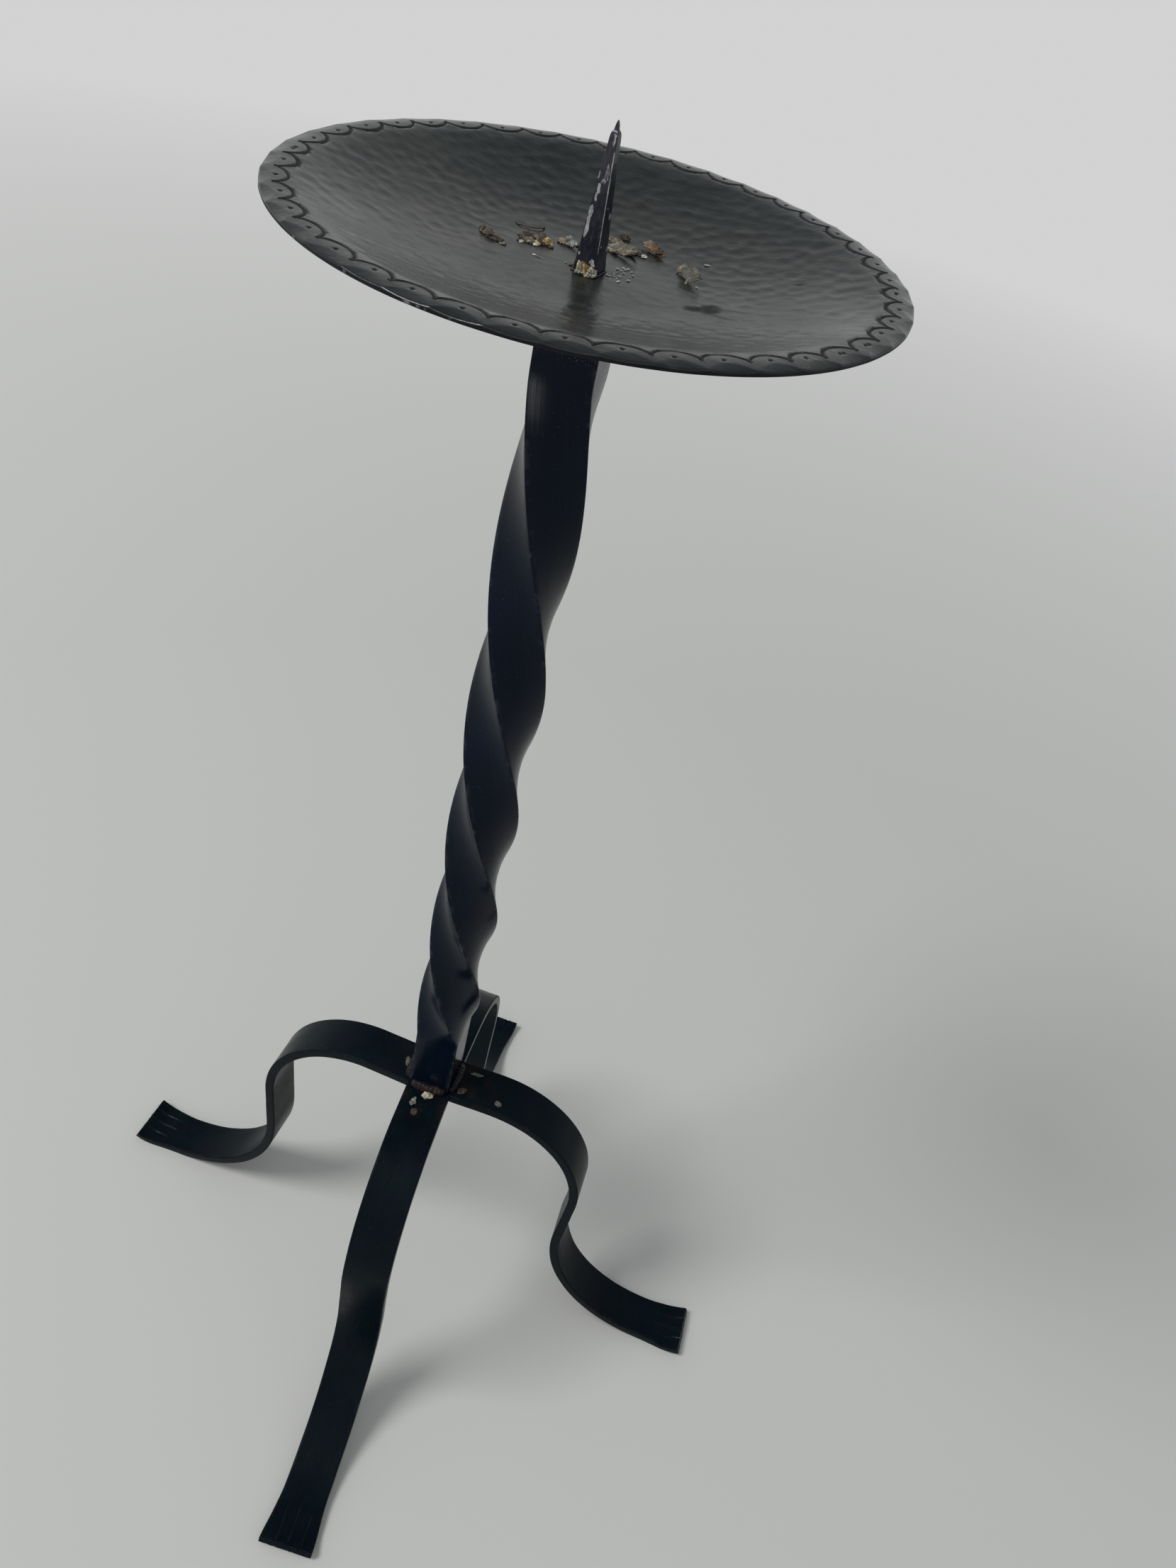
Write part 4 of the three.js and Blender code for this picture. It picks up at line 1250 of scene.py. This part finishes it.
# the old wax and rust caked along the spike's foot, on the face towards the photograph's left
crustLook = {
    "across": 9.6 * mm, "shift": 1.5 * mm, "climb": 5.0 * mm, "spread": 3.0 * mm, "count": 170,
    "body": ("cream", "beige", "yellow", "amber", "yellow", "amber", "cream", "grey", "cream"),
    "heart": ("yellow", "orange", "amber", "amber", "cream"),
    "skirt": ("white", "cream", "cream", "beige", "grey", "yellow"),
}
faceTurn = math.radians(spikeShape["turn"])
rng = random.Random(7)
piles = {}


def pile(name, kind, crumb):
    piles.setdefault((name, kind), []).append(crumb)


def crustCrumb(share, out, up, length, width, height, kind, rise):
    # share runs along the spike's foot from -0.5 to 0.5; out is measured from the spike's axis
    along = share * crustLook["across"] + crustLook["shift"]
    x = along * math.cos(faceTurn) + out * math.sin(faceTurn)
    y = along * math.sin(faceTurn) - out * math.cos(faceTurn)
    turn = rng.uniform(0, 3)
    pile("crust", kind, makeCrumb(rng, x, y, surfaceAt(0, 0) + up, length, width, height, turn, rise))


for name, kind, *rows in dishPlates:
    for x, y, length, width, thick, turn, tilt in rows:
        z = surfaceAt(x * mm, y * mm)
        roll = rng.uniform(-0.2, 0.2)
        pile(name, kind, makePlate(rng, x * mm, y * mm, z, length * mm, width * mm, thick * mm,
                                   math.radians(turn), math.radians(tilt), roll))
for name, kind, *rows in dishCrumbs:
    for x, y, length, width, height, turn in rows:
        z = surfaceAt(x * mm, y * mm)
        rise = rng.uniform(-0.12, 0.12)
        pile(name, kind, makeCrumb(rng, x * mm, y * mm, z, length * mm, width * mm, height * mm,
                                   math.radians(turn), rise))
for _ in range(dustLook["count"]):
    angle = rng.uniform(-dustLook["fan"], dustLook["fan"])
    out = rng.uniform(dustLook["near"], dustLook["far"]) * mm
    x, y = dustLook["x"] + out * math.cos(angle), dustLook["y"] + out * math.sin(angle) * dustLook["squeeze"]
    size = rng.uniform(0.5, 1.4) * mm
    turn = rng.uniform(0, 3)
    pile("dust", "white", makeCrumb(rng, x, y, surfaceAt(x, y), size, size * 0.8, size * 0.7, turn))
lumpCount = len(crustLook["body"])
for k, kind in enumerate(crustLook["body"]):
    share = (k + 0.5) / lumpCount - 0.5
    tall = rng.uniform(6.2, 8.2) * mm * (1 - 0.35 * (share + 0.5))
    rise = rng.uniform(-0.15, 0.15)
    crustCrumb(share * 0.86, spikeShape["base"] / 2 + 0.7 * mm, 0, 3.6 * mm, 3.0 * mm, tall, kind, rise)
for _ in range(crustLook["count"]):
    share = rng.uniform(-0.48, 0.48)
    lift = rng.random()
    size = rng.uniform(0.9, 2.1) * mm * (1 - 0.25 * lift)
    out = spikeShape["base"] / 2 + crustLook["spread"] * (1 - 0.75 * lift) * rng.uniform(0.35, 1)
    up = lift * crustLook["climb"] * (1 - 0.4 * (share + 0.5))
    kind = rng.choice(crustLook["heart" if -0.32 < share < 0.20 and lift > 0.4 else "skirt"])
    crustCrumb(share, out, up, size, size * 0.8, size * 0.7, kind, rng.uniform(-0.7, 0.7))
for (name, kind), crumbs in piles.items():
    heap(f"{name}_{kind}", kind, crumbs)


def curlFlake():
    # a thin curled shaving behind the brown cluster
    deselectAll()
    bpy.ops.mesh.primitive_torus_add(major_segments=60, minor_segments=8, major_radius=7.2 * mm,
                                     minor_radius=0.45 * mm, location=(0, 0, 0))
    piece = startPiece("curlFlake")
    bpy.ops.object.mode_set(mode="EDIT")
    selectFaces(piece, lambda c, n: c.y > 1.5 * mm and c.x > -2 * mm)
    bpy.ops.mesh.delete(type="FACE")
    bpy.ops.mesh.select_mode(type="EDGE")
    bpy.ops.mesh.select_all(action="DESELECT")
    bpy.ops.mesh.select_non_manifold()
    bpy.ops.mesh.fill_holes(sides=0)
    bpy.ops.object.mode_set(mode="OBJECT")
    points = readPoints(piece)
    points[:, 1] *= 0.55
    points[:, 2] *= 0.7
    points += 0.25 * mm * np.stack([roughness3(points, 0.003, 70 + k) for k in range(3)], axis=1)
    spot = Vector((-41 * mm, 36 * mm, surfaceAt(-41 * mm, 36 * mm) + 0.3 * mm))
    writePoints(piece, points)
    piece.data.transform(Matrix.Translation(spot) @ Matrix.Rotation(math.radians(20), 4, "Z"))
    closeUp(piece)
    smoothPiece(piece, 50)
    finishPiece(piece, crumbKinds["brown"], "weld_iron")


curlFlake()

# wax and rust on the legs' roots: (kind, x, y, length, width, height)
hubLitter = [
    ("cream", 2, -24.5, 8, 6, 3.0), ("yellow", 5, -23.0, 5, 4, 2.4), ("grey", -6, -33.5, 7, 4.5, 1.8),
     ("olive", -24, 0, 8, 4, 1.4),
    ("olive", 32, 10, 9, 3, 0.9), ("olive", 57, -9, 5.5, 4.5, 0.9), ("brown", 26, -9, 7, 5, 1.4),
     ("brown", -2, -42, 6, 5, 1.0),
]
hubPiles = {}
for kind, x, y, length, width, height in hubLitter:
    fall = 0.0
    out = max(abs(x), abs(y)) * mm - legShape["rootEnd"]
    if out > 0:
        radius = legShape["shoulder"] + legShape["thickness"]
        fall = radius - math.sqrt(radius ** 2 - out ** 2)
    z = legShape["top"] - fall - 0.1 * mm
    crumb = makeCrumb(rng, x * mm, y * mm, z, length * mm, width * mm, height * mm, rng.uniform(0, 3))
    hubPiles.setdefault(kind, []).append(crumb)
for kind, crumbs in hubPiles.items():
    heap(f"hub_{kind}", kind, crumbs)
print("flakes and wax laid")


# floor, world and light

stageLook = {
    "floorColour": (0.60, 0.60, 0.575), "floorSize": 60, "floorRough": 0.75,
    "backdrop": (0.64, 0.645, 0.64), "backdropReach": 4.0, "backdropFade": (0.25, 0.95),
    "horizon": (0.80, 0.81, 0.81), "aheadHigh": (0.205, 0.235, 0.245), "lowShare": 0.70,
    "behind": (0.60, 0.61, 0.62), "right": (0.30, 0.32, 0.34), "worldStrength": 1.0,
    "keyPlace": (-3.2, -1.9, 5.0), "keyAim": (0, 0, 0.55), "keySize": 2.2, "keyPower": 190,
}

deselectAll()
bpy.ops.mesh.primitive_plane_add(size=stageLook["floorSize"], location=(0, 0, 0))
floor = startPiece("floor")
paint = Paint("floorPaint", stageLook["floorColour"], stageLook["floorRough"], 0.15)
# far from the stand, the floor runs into a pale backdrop for the camera and for reflections
reach = paint.nodes.new("ShaderNodeVectorMath")
reach.operation = "LENGTH"
paint.feed(reach.inputs[0], paint.where)
nearEnd, farEnd = stageLook["backdropFade"]
far = paint.math("DIVIDE", reach.outputs["Value"], stageLook["backdropReach"])
far = paint.ramp(far, (nearEnd, 0.0), (farEnd, 1.0))
path = paint.nodes.new("ShaderNodeLightPath")
seen = paint.math("MAXIMUM", path.outputs["Is Camera Ray"], path.outputs["Is Glossy Ray"])
seen = paint.math("MAXIMUM", seen, path.outputs["Is Transmission Ray"])
pale = paint.nodes.new("ShaderNodeEmission")
paint.feed(pale.inputs["Color"], stageLook["backdrop"])
mixed = paint.nodes.new("ShaderNodeMixShader")
for place, source in enumerate((paint.times(seen, far), paint.shader.outputs[0], pale.outputs[0])):
    paint.feed(mixed.inputs[place], source)
paint.feed(paint.nodes["Material Output"].inputs["Surface"], mixed.outputs[0])
floor.data.materials.append(paint.material)

world = bpy.data.worlds.new("paleRoom")
bpy.context.scene.world = world
world.use_nodes = True
sky = Mixer(world.node_tree)
background = sky.nodes["Background"]
background.inputs["Strength"].default_value = stageLook["worldStrength"]
split = sky.nodes.new("ShaderNodeSeparateXYZ")
sky.feed(split.inputs["Vector"], sky.nodes.new("ShaderNodeTexCoord").outputs["Generated"])
low = tuple(c * stageLook["lowShare"] for c in stageLook["horizon"])
ahead = sky.ramp(split.outputs["Z"], (0.0, stageLook["horizon"]), (0.35, low), (0.85, stageLook["aheadHigh"]))
side = sky.ramp(sky.math("ADD", split.outputs["Y"], 0.5), (0.15, 0.0), (0.65, 1.0))
room = sky.blend(side, stageLook["behind"], ahead)
toRight = sky.ramp(sky.math("ADD", split.outputs["X"], 0.4), (0.5, 0.0), (1.0, 0.6))
sky.feed(background.inputs["Color"], sky.blend(toRight, room, stageLook["right"]))

lampData = bpy.data.lights.new("keyLamp", "AREA")
lampData.shape = "DISK"
lampData.size = stageLook["keySize"]
lampData.energy = stageLook["keyPower"]
lamp = bpy.data.objects.new("keyLamp", lampData)
lamp.location = stageLook["keyPlace"]
aim = Vector(stageLook["keyAim"]) - Vector(stageLook["keyPlace"])
lamp.rotation_euler = aim.to_track_quat("-Z", "Y").to_euler()
bpy.context.scene.collection.objects.link(lamp)

scene = bpy.context.scene
scene.view_settings.view_transform = "Standard"

deselectAll()
